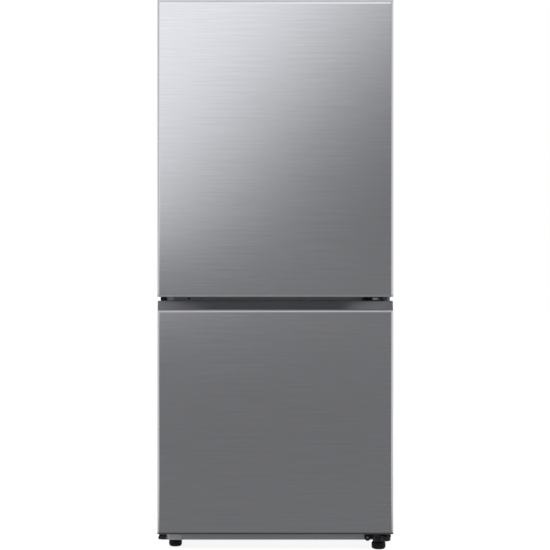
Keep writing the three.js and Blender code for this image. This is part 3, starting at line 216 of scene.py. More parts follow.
cardMaterial, tree = emptyMaterial("gradedReflectorCard")
place = addNode(tree, "ShaderNodeNewGeometry")
split = addNode(tree, "ShaderNodeSeparateXYZ", links={0: place.outputs["Position"]})
across, above = split.outputs["X"], split.outputs["Z"]
leanStart, leanEnd = cardSet["lean"]
lean = addNode(tree, "ShaderNodeMapRange", {1: leanStart, 2: leanEnd, 4: cardSet["slant"]}, {0: above},
               interpolation_type="SMOOTHSTEP")
aside = addNode(tree, "ShaderNodeMath", links={0: across, 1: lean.outputs[0]}, operation="MULTIPLY")
grade = addNode(tree, "ShaderNodeMath", links={0: above, 1: aside.outputs[0]}, operation="SUBTRACT")
grade = addNode(tree, "ShaderNodeMapRange", {1: cardSet["start"], 2: cardSet["end"]}, {0: grade.outputs[0]})
ramp = addNode(tree, "ShaderNodeValToRGB", links={0: grade.outputs[0]})
span = cardSet["end"] - cardSet["start"]
setRamp(ramp, [((metres - cardSet["start"]) / span, tone / cardSet["brightest"])
               for metres, tone in cardSet["steps"]])
fades = [addNode(tree, "ShaderNodeMapRange", dict(zip((1, 2), cardSet[end])), {0: across},
                 interpolation_type="SMOOTHSTEP") for end in ("fadeLeft", "fadeRight")]
fade = addNode(tree, "ShaderNodeMath", links={i: fades[i].outputs[0] for i in (0, 1)}, operation="MULTIPLY")
worldTone = 1 / cardSet["brightest"]
shade = addNode(tree, "ShaderNodeMix", {6: (worldTone, worldTone, worldTone, 1)},
                {0: fade.outputs[0], 7: ramp.outputs[0]}, data_type="RGBA")
glow = addNode(tree, "ShaderNodeEmission", {"Strength": cardSet["brightest"]}, {"Color": shade.outputs[2]})
addNode(tree, "ShaderNodeOutputMaterial", links={"Surface": glow.outputs[0]})

# Floor card: dim before the doors and fading to the world's white beside the object
floorCardMaterial, tree = emptyMaterial("dimFloorCard")
place = addNode(tree, "ShaderNodeNewGeometry")
split = addNode(tree, "ShaderNodeSeparateXYZ", links={0: place.outputs["Position"]})
aside = addNode(tree, "ShaderNodeMath", links={0: split.outputs["X"]}, operation="ABSOLUTE")
fadeStart, fadeEnd, spread = floorCardSet["fade"]
aside = addNode(tree, "ShaderNodeMath", {1: spread}, {0: split.outputs["Y"], 2: aside.outputs[0]},
                operation="MULTIPLY_ADD")
tone = addNode(tree, "ShaderNodeMapRange", {1: fadeStart, 2: fadeEnd, 3: floorCardSet["tone"], 4: 1.0},
               {0: aside.outputs[0]}, interpolation_type="SMOOTHSTEP")
glow = addNode(tree, "ShaderNodeEmission", {"Color": white}, {"Strength": tone.outputs[0]})
addNode(tree, "ShaderNodeOutputMaterial", links={"Surface": glow.outputs[0]})

sideCardMaterial, tree = emptyMaterial("brightSideCard")
glow = addNode(tree, "ShaderNodeEmission", {"Color": white, "Strength": sideCardSet["tone"]})
addNode(tree, "ShaderNodeOutputMaterial", links={"Surface": glow.outputs[0]})

reach, clear = cardSet["distance"], floorCardSet["clear"]
cardLeft, cardRight = cardSet["sides"]
cardLow, cardHigh = cardSet["heights"]
cards = [
    stagePlane("gradedCard", cardRight - cardLeft, cardHigh - cardLow,
               ((cardLeft + cardRight) / 2, -reach, (cardLow + cardHigh) / 2), (90, 0, 0), cardMaterial),
    stagePlane("floorCard", 2 * floorCardSet["half"], reach - clear,
               (0, -(reach + clear) / 2, floorCardSet["rise"]), (0, 0, 0), floorCardMaterial,
               floorCardSet["taper"]),
]
for name, (length, x, y) in sideCardSet["cards"].items():
    cards.append(stagePlane(name, length, sideCardSet["height"], (x, y, sideCardSet["middle"]), (90, 0, 90),
                            sideCardMaterial))
for card in cards:
    card.visible_camera = False
    card.visible_diffuse = False
    card.visible_transmission = False
    card.visible_shadow = False
    card.visible_volume_scatter = False
print("stage ready")


# Materials: one for each slot of the record, and two more finishes

noiseSpan = (0.3, 0.7)  # nearly all values of a noise lie between these
usualGloss, usualCloud, plasticIor = 0.5, 90, 1.53  # where a finish names none; the cloud in millimetres


def perMetre(size):  # texture scale for a feature of that many millimetres
    return 1000 / size


def noiseRange(ends, span=noiseSpan):  # Map Range values that stretch a noise between two ends
    return dict(zip((1, 2, 3, 4), span + tuple(ends)))


def cloudedTone(tree, place, size, detail, settings):  # slow change between the two tones of a finish
    cloud = addNode(tree, "ShaderNodeTexNoise", {"Scale": perMetre(size), "Detail": detail},
                    {"Vector": place})
    tone = addNode(tree, "ShaderNodeValToRGB", links={0: cloud.outputs[0]})
    setRamp(tone, list(zip(noiseSpan, (settings["low"], settings["high"]))))
    return tone.outputs[0]


def fineSurface(tree, place, size, settings):  # gloss and relief of one fine grain
    grain = addNode(tree, "ShaderNodeTexNoise", {"Scale": perMetre(size), "Detail": 2.0}, {"Vector": place})
    rough = addNode(tree, "ShaderNodeMapRange", noiseRange(settings["rough"]), {0: grain.outputs[0]})
    relief = addNode(tree, "ShaderNodeBump", {"Strength": 0.6, "Distance": settings["relief"]},
                     {"Height": grain.outputs[0]})
    return {"Roughness": rough.outputs[0], "Normal": relief.outputs[0]}


def brushedStainless(settings):
    # Austenitic sheet, belt-brushed along its width: fine level lines that spread light up and down
    material, tree = emptyMaterial("stainlessSteelBrushed")
    place = addNode(tree, "ShaderNodeUVMap", uv_map="sheet")  # metres along the sheet
    heights = []
    for length, width in settings["lines"]:
        stretch = addNode(tree, "ShaderNodeVectorMath", {1: (perMetre(length), perMetre(width), 1)},
                          {0: place.outputs[0]}, operation="MULTIPLY")
        heights.append(addNode(tree, "ShaderNodeTexNoise", {"Scale": 1.0, "Detail": 3.0, "Roughness": 0.6},
                               {"Vector": stretch.outputs[0]}, noise_dimensions="2D"))
    fine, broad = heights
    grain = addNode(tree, "ShaderNodeMix", {0: settings["broadShare"]},
                    {2: fine.outputs[0], 3: broad.outputs[0]}, data_type="FLOAT")
    tone = addNode(tree, "ShaderNodeValToRGB", links={0: grain.outputs[0]})
    setRamp(tone, settings["tones"])
    rough = addNode(tree, "ShaderNodeMapRange", noiseRange(settings["rough"], settings["roughSpan"]),
                    {0: grain.outputs[0]})
    relief = addNode(tree, "ShaderNodeBump", {"Strength": 0.5, "Distance": settings["relief"]},
                     {"Height": fine.outputs[0]})
    shader = addNode(tree, "ShaderNodeBsdfPrincipled",
                     {"Metallic": 1.0, "Anisotropic": settings["anisotropy"], "Anisotropic Rotation": 0.25},
                     {"Base Color": tone.outputs[0], "Roughness": rough.outputs[0],
                      "Normal": relief.outputs[0]})
    addNode(tree, "ShaderNodeOutputMaterial", links={"Surface": shader.outputs[0]})
    return material


def coatedMetal(name, settings):
    # Sheet with a coat or a dull metal face: even tone, faint orange peel and slow cloudiness
    material, tree = emptyMaterial(name)
    place = addNode(tree, "ShaderNodeTexCoord").outputs["Object"]
    tone = cloudedTone(tree, place, settings["cloud"], 4.0, settings)
    surface = fineSurface(tree, place, settings["peel"], settings)
    shader = addNode(tree, "ShaderNodeBsdfPrincipled",
                     {"Metallic": settings["metal"], "Specular IOR Level": settings.get("gloss", usualGloss)},
                     {"Base Color": tone, **surface})
    addNode(tree, "ShaderNodeOutputMaterial", links={"Surface": shader.outputs[0]})
    return material


def galvanisedSheet(settings):
    # Hot-dip zinc on steel: dull grey crystals about a centimetre across, each of its own shade
    material, tree = emptyMaterial("steelHotDipGalvanised")
    place = addNode(tree, "ShaderNodeTexCoord").outputs["Object"]
    warp = addNode(tree, "ShaderNodeTexNoise", {"Scale": perMetre(settings["ragged"]), "Detail": 3.0},
                   {"Vector": place})
    bent = addNode(tree, "ShaderNodeVectorMath", {"Scale": settings["raggedness"]},
                   {0: warp.outputs["Color"]}, operation="SCALE")
    bent = addNode(tree, "ShaderNodeVectorMath", links={0: place, 1: bent.outputs[0]}, operation="ADD")
    spangle = addNode(tree, "ShaderNodeTexVoronoi", {"Scale": perMetre(settings["spangle"])},
                      {"Vector": bent.outputs[0]})
    shade = addNode(tree, "ShaderNodeSeparateColor", links={0: spangle.outputs["Color"]})
    tone = addNode(tree, "ShaderNodeValToRGB", links={0: shade.outputs[0]})
    setRamp(tone, settings["tones"])
    rough = addNode(tree, "ShaderNodeMapRange", dict(zip((3, 4), settings["rough"])), {0: shade.outputs[1]})
    shader = addNode(tree, "ShaderNodeBsdfPrincipled", {"Metallic": settings["metal"]},
                     {"Base Color": tone.outputs[0], "Roughness": rough.outputs[0]})
    addNode(tree, "ShaderNodeOutputMaterial", links={"Surface": shader.outputs[0]})
    return material


def mouldedPlastic(name, settings):
    # Injection moulded: a satin skin with the mould's fine spark texture and hardly any tone change
    material, tree = emptyMaterial(name)
    place = addNode(tree, "ShaderNodeTexCoord").outputs["Object"]
    tone = cloudedTone(tree, place, settings.get("cloud", usualCloud), 3.0, settings)
    surface = fineSurface(tree, place, settings["grain"], settings)
    shader = addNode(tree, "ShaderNodeBsdfPrincipled",
                     {"IOR": plasticIor, "Specular IOR Level": settings.get("gloss", usualGloss)},
                     {"Base Color": tone, **surface})
    addNode(tree, "ShaderNodeOutputMaterial", links={"Surface": shader.outputs[0]})
    return material


def clearMoulding(name, settings):
    # Clear polystyrene or glass: sharp gloss, a faint tint, and flow haze in the body
    material, tree = emptyMaterial(name)
    place = addNode(tree, "ShaderNodeTexCoord").outputs["Object"]
    haze = addNode(tree, "ShaderNodeTexNoise", {"Scale": perMetre(settings["haze"]), "Detail": 3.0},
                   {"Vector": place})
    tone = addNode(tree, "ShaderNodeValToRGB", links={0: haze.outputs[0]})
    setRamp(tone, list(zip(noiseSpan, (settings["low"], settings["high"]))))
    rough = addNode(tree, "ShaderNodeMapRange", noiseRange(settings["rough"]), {0: haze.outputs[0]})
    shader = addNode(tree, "ShaderNodeBsdfPrincipled",
                     {"IOR": settings["ior"], "Transmission Weight": settings["clear"]},
                     {"Base Color": tone.outputs[0], "Roughness": rough.outputs[0]})
    addNode(tree, "ShaderNodeOutputMaterial", links={"Surface": shader.outputs[0]})
    return material


stainlessSet = {
    "lines": [(90, 0.7), (260, 3.2)],  # length and width of the brush lines, coarse enough to show
    "broadShare": 0.5,
    "tones": [(0.36, "#A5A6AA"), (0.5, "#A9AAAE"), (0.64, "#ADAEB2")],
    "rough": (0.155, 0.20),
    "roughSpan": (0.25, 0.75),
    "anisotropy": 0.45,
    "relief": 0.000004,
}
metalSets = {
    "silver_paint": ("steelSilverPowderCoat", {  # sprayed and baked: soft metallic grey, faintly pebbled
        "low": "#95979B", "high": "#9A9CA0", "cloud": 220, "peel": 2.2, "rough": (0.36, 0.44),
        "relief": 0.00002, "metal": 0.35}),
    "cap_plastic": ("absMetallicPainted", {  # painted moulding: the sheet's grey, but even
        "low": "#96989B", "high": "#9A9C9F", "cloud": 120, "peel": 1.5, "rough": (0.30, 0.36),
        "relief": 0.00001, "metal": 0.9}),
    "topCapPaintedHighlight": ("capPlasticPaintedHighlight", {  # the strip above the upper door: the same moulding as the other caps, painted paler with more body colour than shine, a painted highlight where the door's top catches more light
        "low": "#ABADB0", "high": "#AFB1B4", "cloud": 120, "peel": 1.5, "rough": (0.30, 0.36),
        "relief": 0.00001, "metal": 0.35}),
    "hinge_steel": ("steelZincPlated", {  # bright plating with small cloudy patches
        "low": "#9B9FA4", "high": "#ACB0B4", "cloud": 14, "peel": 1.2, "rough": (0.14, 0.20),
        "relief": 0.00001, "metal": 1.0}),
    "black_steel": ("steelBlackPowderCoat", {  # dull black with a pebbled skin
        "low": "#0E0E0F", "high": "#141416", "cloud": 60, "peel": 1.4, "rough": (0.46, 0.56),
        "relief": 0.00003, "metal": 0.0, "gloss": 0.25}),
    "hingeCoatPaintedLight": ("steelBlackPowderCoatPaintedLight", {  # the same black coat, painted lighter as painted light so that it shows in the shaded gap
        "low": "#34353A", "high": "#3C3D42", "cloud": 60, "peel": 1.4, "rough": (0.38, 0.48),
        "relief": 0.00003, "metal": 0.0, "gloss": 0.5}),
    "aluminium": ("aluminiumMillFinish", {  # rolled fins and tube: light grey with a broad sheen
        "low": "#B4B7BA", "high": "#C4C6C8", "cloud": 30, "peel": 0.9, "rough": (0.30, 0.42),
        "relief": 0.00001, "metal": 1.0}),
}
zincSet = {
    "spangle": 10, "ragged": 5, "raggedness": 0.003, "metal": 0.85,
    "tones": [(0.0, "#93979A"), (0.5, "#9A9EA0"), (1.0, "#A2A5A8")],
    "rough": (0.38, 0.52),
}
plasticSets = {
    "grip_plastic": ("absDarkSilverMoulded", {  # dark grey body with a slight lustre
        "low": "#3A3B40", "high": "#3E3F44", "grain": 0.8, "rough": (0.34, 0.42), "relief": 0.00002,
        "gloss": 0.6}),
    "grey_plastic": ("polypropyleneLightGreyMoulded", {  # waxy and soft, as housings and ducts are
        "low": "#CFD1D2", "high": "#D5D7D8", "grain": 0.9, "rough": (0.40, 0.50), "relief": 0.00003}),
    "dark_plastic": ("polypropyleneDarkGreyMoulded", {  # the same skin in charcoal
        "low": "#292A2C", "high": "#2E2F31", "grain": 0.9, "rough": (0.42, 0.52), "relief": 0.00003}),
    "black_plastic": ("absBlackMoulded", {  # black with a weak, broad shine
        "low": "#161617", "high": "#1B1B1D", "grain": 0.8, "rough": (0.45, 0.55), "relief": 0.00003,
        "gloss": 0.3}),
    "foot_plastic": ("polyamideBlackMoulded", {  # deep black, nearly without shine
        "low": "#050506", "high": "#09090A", "grain": 1.0, "rough": (0.52, 0.62), "relief": 0.00004,
        "gloss": 0.12}),
    "white_plastic": ("absWhiteThermoformed", {  # drawn sheet: white, smooth and glossier than a moulding
        "low": "#E9EAEB", "high": "#EEEFEF", "cloud": 200, "grain": 1.6, "rough": (0.26, 0.34),
        "relief": 0.00002}),
    "gasket_rubber": ("pvcGreyExtruded", {  # soft, matt and mid grey
        "low": "#8C8E90", "high": "#949698", "grain": 1.2, "rough": (0.55, 0.65), "relief": 0.00003}),
    "insulation_foam": ("polyurethaneFoamRaw", {  # blown in place: straw yellow, blotchy and quite matt
        "low": "#D2BE8E", "high": "#E0CFA4", "cloud": 25, "grain": 1.5, "rough": (0.85, 0.95),
        "relief": 0.0004}),
}
clearSets = {
    "clear_plastic": ("polystyreneClearMoulded", {  # see-through and glossy, with a cool cast
        "low": "#F1F4F4", "high": "#F7F9F9", "haze": 60, "rough": (0.05, 0.10), "ior": 1.50, "clear": 0.78}),
    "drawer_plastic": ("polystyreneFrostedMoulded", {  # lets light through and blurs what lies behind
        "low": "#E0E4E5", "high": "#E8EBEC", "haze": 60, "rough": (0.18, 0.26), "ior": 1.50, "clear": 0.45}),
    "lamp_plastic": ("polycarbonateOpalMoulded", {  # milky lens that spreads the light
        "low": "#F4F4F0", "high": "#F9F9F6", "haze": 30, "rough": (0.22, 0.30), "ior": 1.58, "clear": 0.55}),
    "shelf_glass": ("glassTempered", {  # clear pane, faintly green
        "low": "#E2EFEA", "high": "#E8F3EE", "haze": 300, "rough": (0.01, 0.02), "ior": 1.50, "clear": 1.0}),
}
materials = {"door_steel": brushedStainless(stainlessSet), "galvanised_sheet": galvanisedSheet(zincSet)}
materials.update({slot: coatedMetal(*entry) for slot, entry in metalSets.items()})
materials.update({slot: mouldedPlastic(*entry) for slot, entry in plasticSets.items()})
materials.update({slot: clearMoulding(*entry) for slot, entry in clearSets.items()})
print("materials ready:", len(materials))


# Shapes. An outline is a list of (u, v) points; a ring is a closed list of (x, y, z) points

into = 0.001  # how far a solid runs into, or past, another one that it is joined to or cut from
sliver = 0.00005  # points of a boolean that are closer than this become one


def spot(axis, u, v, w):
    return {"x": (w, u, v), "y": (u, w, v), "z": (u, v, w)}[axis]


def arc(u, v, radius, start, end, steps):
    turns = [math.radians(start + (end - start) * i / steps) for i in range(steps + 1)]
    return [(u + radius * math.cos(a), v + radius * math.sin(a)) for a in turns]


def roundedRect(u0, u1, v0, v1, radius, steps=6):
    return (arc(u1 - radius, v0 + radius, radius, -90, 0, steps)
            + arc(u1 - radius, v1 - radius, radius, 0, 90, steps)
            + arc(u0 + radius, v1 - radius, radius, 90, 180, steps)
            + arc(u0 + radius, v0 + radius, radius, 180, 270, steps))


def circle(u, v, radius, sides=40):
    return arc(u, v, radius, 0, 360 - 360 / sides, sides - 1)


def loft(rings, loop=False):  # skin through rings of equal length; a loop has no end faces
    mesh = bmesh.new()
    rows = [[mesh.verts.new(point) for point in ring] for ring in rings]
    pairs = list(zip(rows, rows[1:]))
    if loop:
        pairs.append((rows[-1], rows[0]))
    else:
        mesh.faces.new(rows[0])
        mesh.faces.new(rows[-1])
    for low, high in pairs:
        for i in range(len(low)):
            j = (i + 1) % len(low)
            mesh.faces.new((low[i], low[j], high[j], high[i]))
    bmesh.ops.recalc_face_normals(mesh, faces=mesh.faces[:])
    return mesh


def prism(outline, axis, low, high):
    return loft([[spot(axis, u, v, w) for u, v in outline] for w in (low, high)])


def block(x0, x1, y0, y1, z0, z1):
    return prism([(x0, y0), (x1, y0), (x1, y1), (x0, y1)], "z", z0, z1)


def rod(axis, radius, low, high, u, v, sides=32):
    return prism(circle(u, v, radius, sides), axis, low, high)


def lathe(place, facing, profile, sides=24):  # profile of (radius, reach) points
    ahead = Vector(facing).normalized()
    side = ahead.orthogonal().normalized()
    up = ahead.cross(side)
    rings = []
    for radius, reach in profile:
        ring = []
        for i in range(sides):
            angle = 2 * math.pi * i / sides
            r = radius(angle) if callable(radius) else radius  # ribs and flats change it with the angle
            ring.append(Vector(place) + ahead * reach + side * r * math.cos(angle) + up * r * math.sin(angle))
        rings.append(ring)
    return loft(rings)


def merged(meshes):  # separate solids in one mesh
    whole = meshes[0]
    for other in meshes[1:]:
        data = bpy.data.meshes.new("solid")
        other.to_mesh(data)
        other.free()
        whole.from_mesh(data)
        bpy.data.meshes.remove(data)
    return whole


def meshObject(name, mesh):
    data = bpy.data.meshes.new(name)
    mesh.to_mesh(data)
    mesh.free()
    thing = bpy.data.objects.new(name, data)
    scene.collection.objects.link(thing)
    return thing


def combined(body, tools, operation):  # exact boolean of bmeshes
    thing = meshObject("body", body)
    for tool in tools:
        other = meshObject("tool", tool)
        modifier = thing.modifiers.new("boolean", "BOOLEAN")
        modifier.solver = "EXACT"
        modifier.operation = operation
        modifier.object = other
        bpy.context.view_layer.update()
        done = bpy.data.meshes.new_from_object(thing.evaluated_get(bpy.context.evaluated_depsgraph_get()))
        thing.modifiers.remove(modifier)
        thing.data = done
        bpy.data.objects.remove(other)
    mesh = bmesh.new()
    mesh.from_mesh(thing.data)
    bpy.data.objects.remove(thing)
    bmesh.ops.remove_doubles(mesh, verts=mesh.verts[:], dist=sliver)
    bmesh.ops.dissolve_degenerate(mesh, edges=mesh.edges[:], dist=sliver)
    return mesh


def cut(body, *tools):
    return combined(body, tools, "DIFFERENCE")


def fused(body, *others):
    return combined(body, others, "UNION")


def softenEdges(thing, width, segments=2, angle=32):
    thing.data.polygons.foreach_set("use_smooth", [True] * len(thing.data.polygons))
    if width:
        modifier = thing.modifiers.new("edgeRadius", "BEVEL")
        modifier.width = width
        modifier.segments = segments
        modifier.limit_method = "ANGLE"
        modifier.angle_limit = math.radians(angle)
        modifier.miter_outer = "MITER_ARC"
        modifier = thing.modifiers.new("flatFaces", "WEIGHTED_NORMAL")
        modifier.weight = 100  # broad faces stay flat beside their rounded edges
    else:
        thing.data.set_sharp_from_angle(angle=math.radians(angle))


def makePiece(name, mesh, body, slot, replaced=(), edge=0.0, segments=2, angle=32, finish=None):
    thing = meshObject(name, mesh)
    thing.data.materials.append(materials[finish or slot])
    softenEdges(thing, edge, segments, angle)
    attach(thing, body)
    if replaced:
        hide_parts(*replaced)


# Steel skins of the doors: a folded sheet with rounded upright edges and a bevelled top

skinSet = {
    "edgeRadius": 0.009,
    "edgeSteps": 14,
    "steel": 0.0008,
    "hem": 0.014,  # turned-in rear edge
    "bevel": {"fridge_door_skin": (0.005, 0.0012, 0.10),  # height, depth, and how softly it starts
              "freezer_door_skin": (0.0051, 0.0048, 0.045)},
    "bevelSoft": 0.0008,
    "lap": {"fridge_door_skin": 0.0, "freezer_door_skin": 0.0013},  # how far the foot laps over the cap
}


def skinOutline(half, front, back):
    r, t, hem, steps = skinSet["edgeRadius"], skinSet["steel"], skinSet["hem"], skinSet["edgeSteps"]
    outer = ([(-half + hem, back), (-half, back)] + arc(-half + r, front + r, r, 180, 270, steps)
             + arc(half - r, front + r, r, 270, 360, steps) + [(half, back), (half - hem, back)])
    inner = ([(half - hem, back - t), (half - t, back - t)]
             + arc(half - r, front + r, r - t, 360, 270, steps)
             + arc(-half + r, front + r, r - t, 270, 180, steps)
             + [(-half + t, back - t), (-half + hem, back - t)])
    return outer + inner


def doorSkin(name, node, body):
    low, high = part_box(node)
    front, back, half = low.y, high.y, high.x
    outline = skinOutline(half, front, back)
    (bevel, depth, start), soft = skinSet["bevel"][node], skinSet["bevelSoft"]
    foot = high.z - bevel
    slope = depth / bevel
    levels = [(low.z - skinSet["lap"][node], 0), (foot - soft, 0), (foot - soft * 0.4, soft * start * slope),
              (foot + soft * 0.4, soft * 0.55 * slope), (foot + soft, soft * slope), (high.z, depth)]
    rings = []
    for z, push in levels:
        rings.append([(x, y + push * (1 - (y - front) / (back - front)), z) for x, y in outline])
    mesh = loft(rings)
    sheet = mesh.loops.layers.uv.new("sheet")  # metres over the unrolled sheet, for the brush lines
    for face in mesh.faces:
        for corner in face.loops:
            x, y, z = corner.vert.co
            run = max(0.0, y - front) if abs(x) > half - skinSet["edgeRadius"] - 1e-6 else 0.0
            corner[sheet].uv = (x + math.copysign(run, x), z)
    makePiece(name, mesh, body, "door_steel", [node], angle=40)


doorSkin("fridgeDoorSkin", "fridge_door_skin", "fridge_door")
doorSkin("freezerDoorSkin", "freezer_door_skin", "freezer_door")


# End caps of the doors, moulded to the outline of the skin

capSet = {
    "edge": 0.0009, "radius": 0.009, "steps": 14,
    "boss": (0.018, 0.001, 0.012),  # half width, and distances from the round edge and from the back
    "bore": (0.0043, 0.003),  # radius of the hole for a hinge pin, and what is left of the boss at its end
    "plate": {"fridge_door_top_cap": 0.007, "fridge_door_bottom_cap": 0.007,
              "freezer_door_bottom_cap": 0.0045},
    "hinge": (0.022, 0.028),  # hinge line from the side and the front of the door
}
skinLow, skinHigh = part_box("fridge_door_skin")
hingeX, hingeY = skinHigh.x - capSet["hinge"][0], skinLow.y + capSet["hinge"][1]


def endCap(name, node, body, bossesUp, finish=None):  # the bosses stand on the upper or the lower face
    low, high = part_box(node)
    half, front, back, r = high.x, low.y, high.y, capSet["radius"]
    outline = [(half, back), (-half, back)] + arc(-half + r, front + r, r, 180, 270, capSet["steps"])
    outline += arc(half - r, front + r, r, 270, 360, capSet["steps"])
    thick = capSet["plate"][node]
    wide, behind, before = capSet["boss"]
    radius, left = capSet["bore"]
    if bossesUp:
        plate, boss = (low.z, low.z + thick), (low.z + into, high.z)
        hole = (low.z - into, high.z - left)
    else:
        plate, boss = (high.z - thick, high.z), (low.z, high.z - into)
        hole = (low.z + left, high.z + into)
    bosses = [block(x - wide, x + wide, front + r + behind, back - before, *boss) for x in (-hingeX, hingeX)]
    cap = fused(prism(outline, "z", *plate), *bosses)
    bore = rod("z", radius, *hole, hingeX, hingeY)
    makePiece(name, cut(cap, bore), body, slotOf[node], [node], capSet["edge"], 3, finish=finish)


# The top cap takes the paler copy of the cap paint: a painted highlight.
endCap("fridgeDoorTopCap", "fridge_door_top_cap", "fridge_door", False, "topCapPaintedHighlight")
endCap("fridgeDoorBottomCap", "fridge_door_bottom_cap", "fridge_door", True)
endCap("freezerDoorBottomCap", "freezer_door_bottom_cap", "freezer_door", True)


# Top of the freezer door: a sloped moulding with a scoop for the fingers

gripSet = {
    "seam": 0.0003,  # between the skin and the moulding
    "slopeFoot": 0.0050,  # front of the moulding behind the door front, at its foot and at its top
    "slopeTop": 0.014,
    "scoopInset": 0.002,  # end of the scoop from the door's side
    "scoopReach": 0.038,
    "scoopRun": 0.165,  # length over which the scoop deepens
    "scoopFloor": 0.0015,  # above the moulding's foot
    "scoopAhead": 0.0004,  # start of the cut before the slope
    "scoopSteps": (32, 6),  # along each end and up the wall
    "footShrink": (0.03, -0.04),  # how much narrower and shallower the scoop is at its foot
    "steep": 1.6,  # how much steeper the wall is at its top than at its foot
    "edge": 0.0009,
    "plug": (0.018, 0.008, 0.002, 0.012),  # tongue inside the skin: side, front, back and depth
    "boreDepth": 0.015,
}


def gripCap(name, node):
    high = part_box(node)[1]
    doorLow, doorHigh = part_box("freezer_door_skin")
    front, foot, top, half = doorLow.y, doorHigh.z + gripSet["seam"], high.z, high.x
    slopeFoot, slopeTop = gripSet["slopeFoot"], gripSet["slopeTop"]
    body = prism([(front + slopeFoot, foot), (high.y, foot), (high.y, top), (front + slopeTop, top)],
                 "x", -half, half)
    side, plugFront, plugBack, drop = gripSet["plug"]
    plug = block(-doorHigh.x + side, doorHigh.x - side, front + plugFront, doorHigh.y - plugBack,
                 foot - drop, foot + into)
    end, run = doorHigh.x - gripSet["scoopInset"], gripSet["scoopRun"]
    along, up = gripSet["scoopSteps"]
    shares = [i / along for i in range(along + 1)]
    edge = [(end - run * share, (1 - math.cos(share * math.pi)) / 2) for share in shares]
    edge += [(-x, depth) for x, depth in reversed(edge)]
    floor = foot + gripSet["scoopFloor"]
    rings = []
    for i in range(up + 1):  # the wall leaves the sloped front smoothly, along half a cosine wave
        rise = i / up
        narrower, shallower = [s * (1 - rise) ** gripSet["steep"] for s in gripSet["footShrink"]]
        z = floor + (top + into - floor) * rise
        start = slopeFoot + (slopeTop - slopeFoot) * (z - foot) / (top - foot) - gripSet["scoopAhead"]
        reach = gripSet["scoopReach"] * (1 - shallower)
        rings.append([(x * (1 - narrower), front + start + (reach - start) * depth, z) for x, depth in edge])
    bore = rod("z", capSet["bore"][0], top - gripSet["boreDepth"], top + into, hingeX, hingeY)
    mesh = cut(fused(body, plug), loft(rings), bore)
    makePiece(name, mesh, "freezer_door", slotOf[node], [node], gripSet["edge"], 3, 28)


gripCap("freezerDoorGripCap", "freezer_door_grip_cap")


# Screws, as one group of solids for each piece that they fasten

screwSet = {
    "flange": (0.0056, 0.0008),  # radius and thickness of its rim
    "cone": (0.86, 0.0014),  # share of that radius, and height, where the flange meets the head
    "across": 0.0040,  # half the width over the flats
    "rise": 0.0044,
    "bevel": (0.94, 0.0007),  # share of the width at the top, and its drop
    "dish": (0.62, 0.5, 0.0009),  # shares of the width at its rim and floor, and its depth
    "sunk": 0.0004,
    "sides": 24,
}


def hexScrews(name, body, slot, spots, scale=1.0):  # spots are (x, y, z) with the way that the head faces
    s = screwSet
    (flange, rim), (coneShare, cone) = s["flange"], s["cone"]
    (bevelShare, bevelDrop), (dishRim, dishFloor, dishDepth) = s["bevel"], s["dish"]
    flange, across, rise = flange * scale, s["across"] * scale, s["rise"] * scale

    def hexagon(angle):
        return across / math.cos((angle % (math.pi / 3)) - math.pi / 6)

    profile = [(flange, -s["sunk"]), (flange, rim), (flange * coneShare, cone), (hexagon, cone),
               (hexagon, rise - bevelDrop), (across * bevelShare, rise), (across * dishRim, rise),
               (across * dishFloor, rise - dishDepth)]
    heads = [lathe(place, facing, profile, s["sides"]) for place, facing in spots]
    makePiece(name, merged(heads), body, slot, angle=24)


# Levelling feet: ribbed discs on threaded studs

footSet = {
    "ribs": 20, "ribDepth": 0.0011, "stud": 0.005, "pitch": 0.0015, "thread": 0.0007, "sides": 120,
    "studFoot": 0.0022,  # start of the thread above the disc
    "studRoom": 0.0004,  # clearance of the stud in what holds it
    "discs": {"foot_left": 0.0195, "foot_right": 0.0206},  # height of the disc; a collar stands on it
}


def levellingFoot(name, node):
    low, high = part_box(node)
    x, y, radius = (low.x + high.x) / 2, (low.y + high.y) / 2, (high.x - low.x) / 2
    disc, stud, pitch = footSet["discs"][node], footSet["stud"], footSet["pitch"]

    def ribbed(angle):
        return radius - footSet["ribDepth"] * max(0.0, math.cos(footSet["ribs"] * angle)) ** 2

    profile = [(radius * 0.74, 0.0), (radius * 0.86, 0.0010), (radius * 0.95, 0.0035), (ribbed, 0.0065),
               (ribbed, disc - 0.0035), (radius * 0.97, disc - 0.0015), (radius * 0.93, disc),
               (radius * 0.62, disc + 0.0006), (radius * 0.60, disc + 0.0018), (stud, disc + 0.0020)]
    z = disc + footSet["studFoot"]
    while z < high.z - pitch:
        profile += [(stud - footSet["thread"], z), (stud, z + pitch / 2)]
        z += pitch
    profile.append((stud - 0.0012, high.z))
    mesh = lathe((x, y, 0), (0, 0, 1), profile, footSet["sides"])
    makePiece(name, mesh, node, slotOf[node], [node], angle=35)


levellingFoot("footLeft", "foot_left")
levellingFoot("footRight", "foot_right")


# Lower hinge: black bracket with a ring, the boss of the foot and the pin of the freezer door

lowerHingeSet = {
    "plateDrop": 0.008,  # door to the top of the bracket
    "sheet": 0.0032,
    "corner": 0.003,
    "nose": 0.017,
    "noseRoot": (0.046, 0.040, 0.012),  # its first corners, and how far the second stands out
    "flangeEnd": 0.060,  # from the pin
    "flangeFoot": 0.027,
    "ring": (-0.051, -0.0155, 0.0085, 0.0078, 0.0008),  # place from pin and top, radius, depth, chamfer
    "ringHole": (0.0042, 0.010),  # radius, and length from the bracket's back
    "footBoss": (0.0172, 0.0218),  # radius and lowest point
    "footRoom": (0.003, 0.0035, 0.010),  # wall and depth of the boss's hollow, and a height below every part
    "pinBoss": (0.015, 0.016),  # radius and height
    "webs": 0.0012,  # half thickness
    "washer": (0.008, 0.0003),  # radius, and play below the door
    "pin": (0.004, 0.001),  # radius and chamfer
    "screws": (-0.040, 0.009, -0.009),  # places from the pin, and height from the top
    "edge": 0.0007,
}


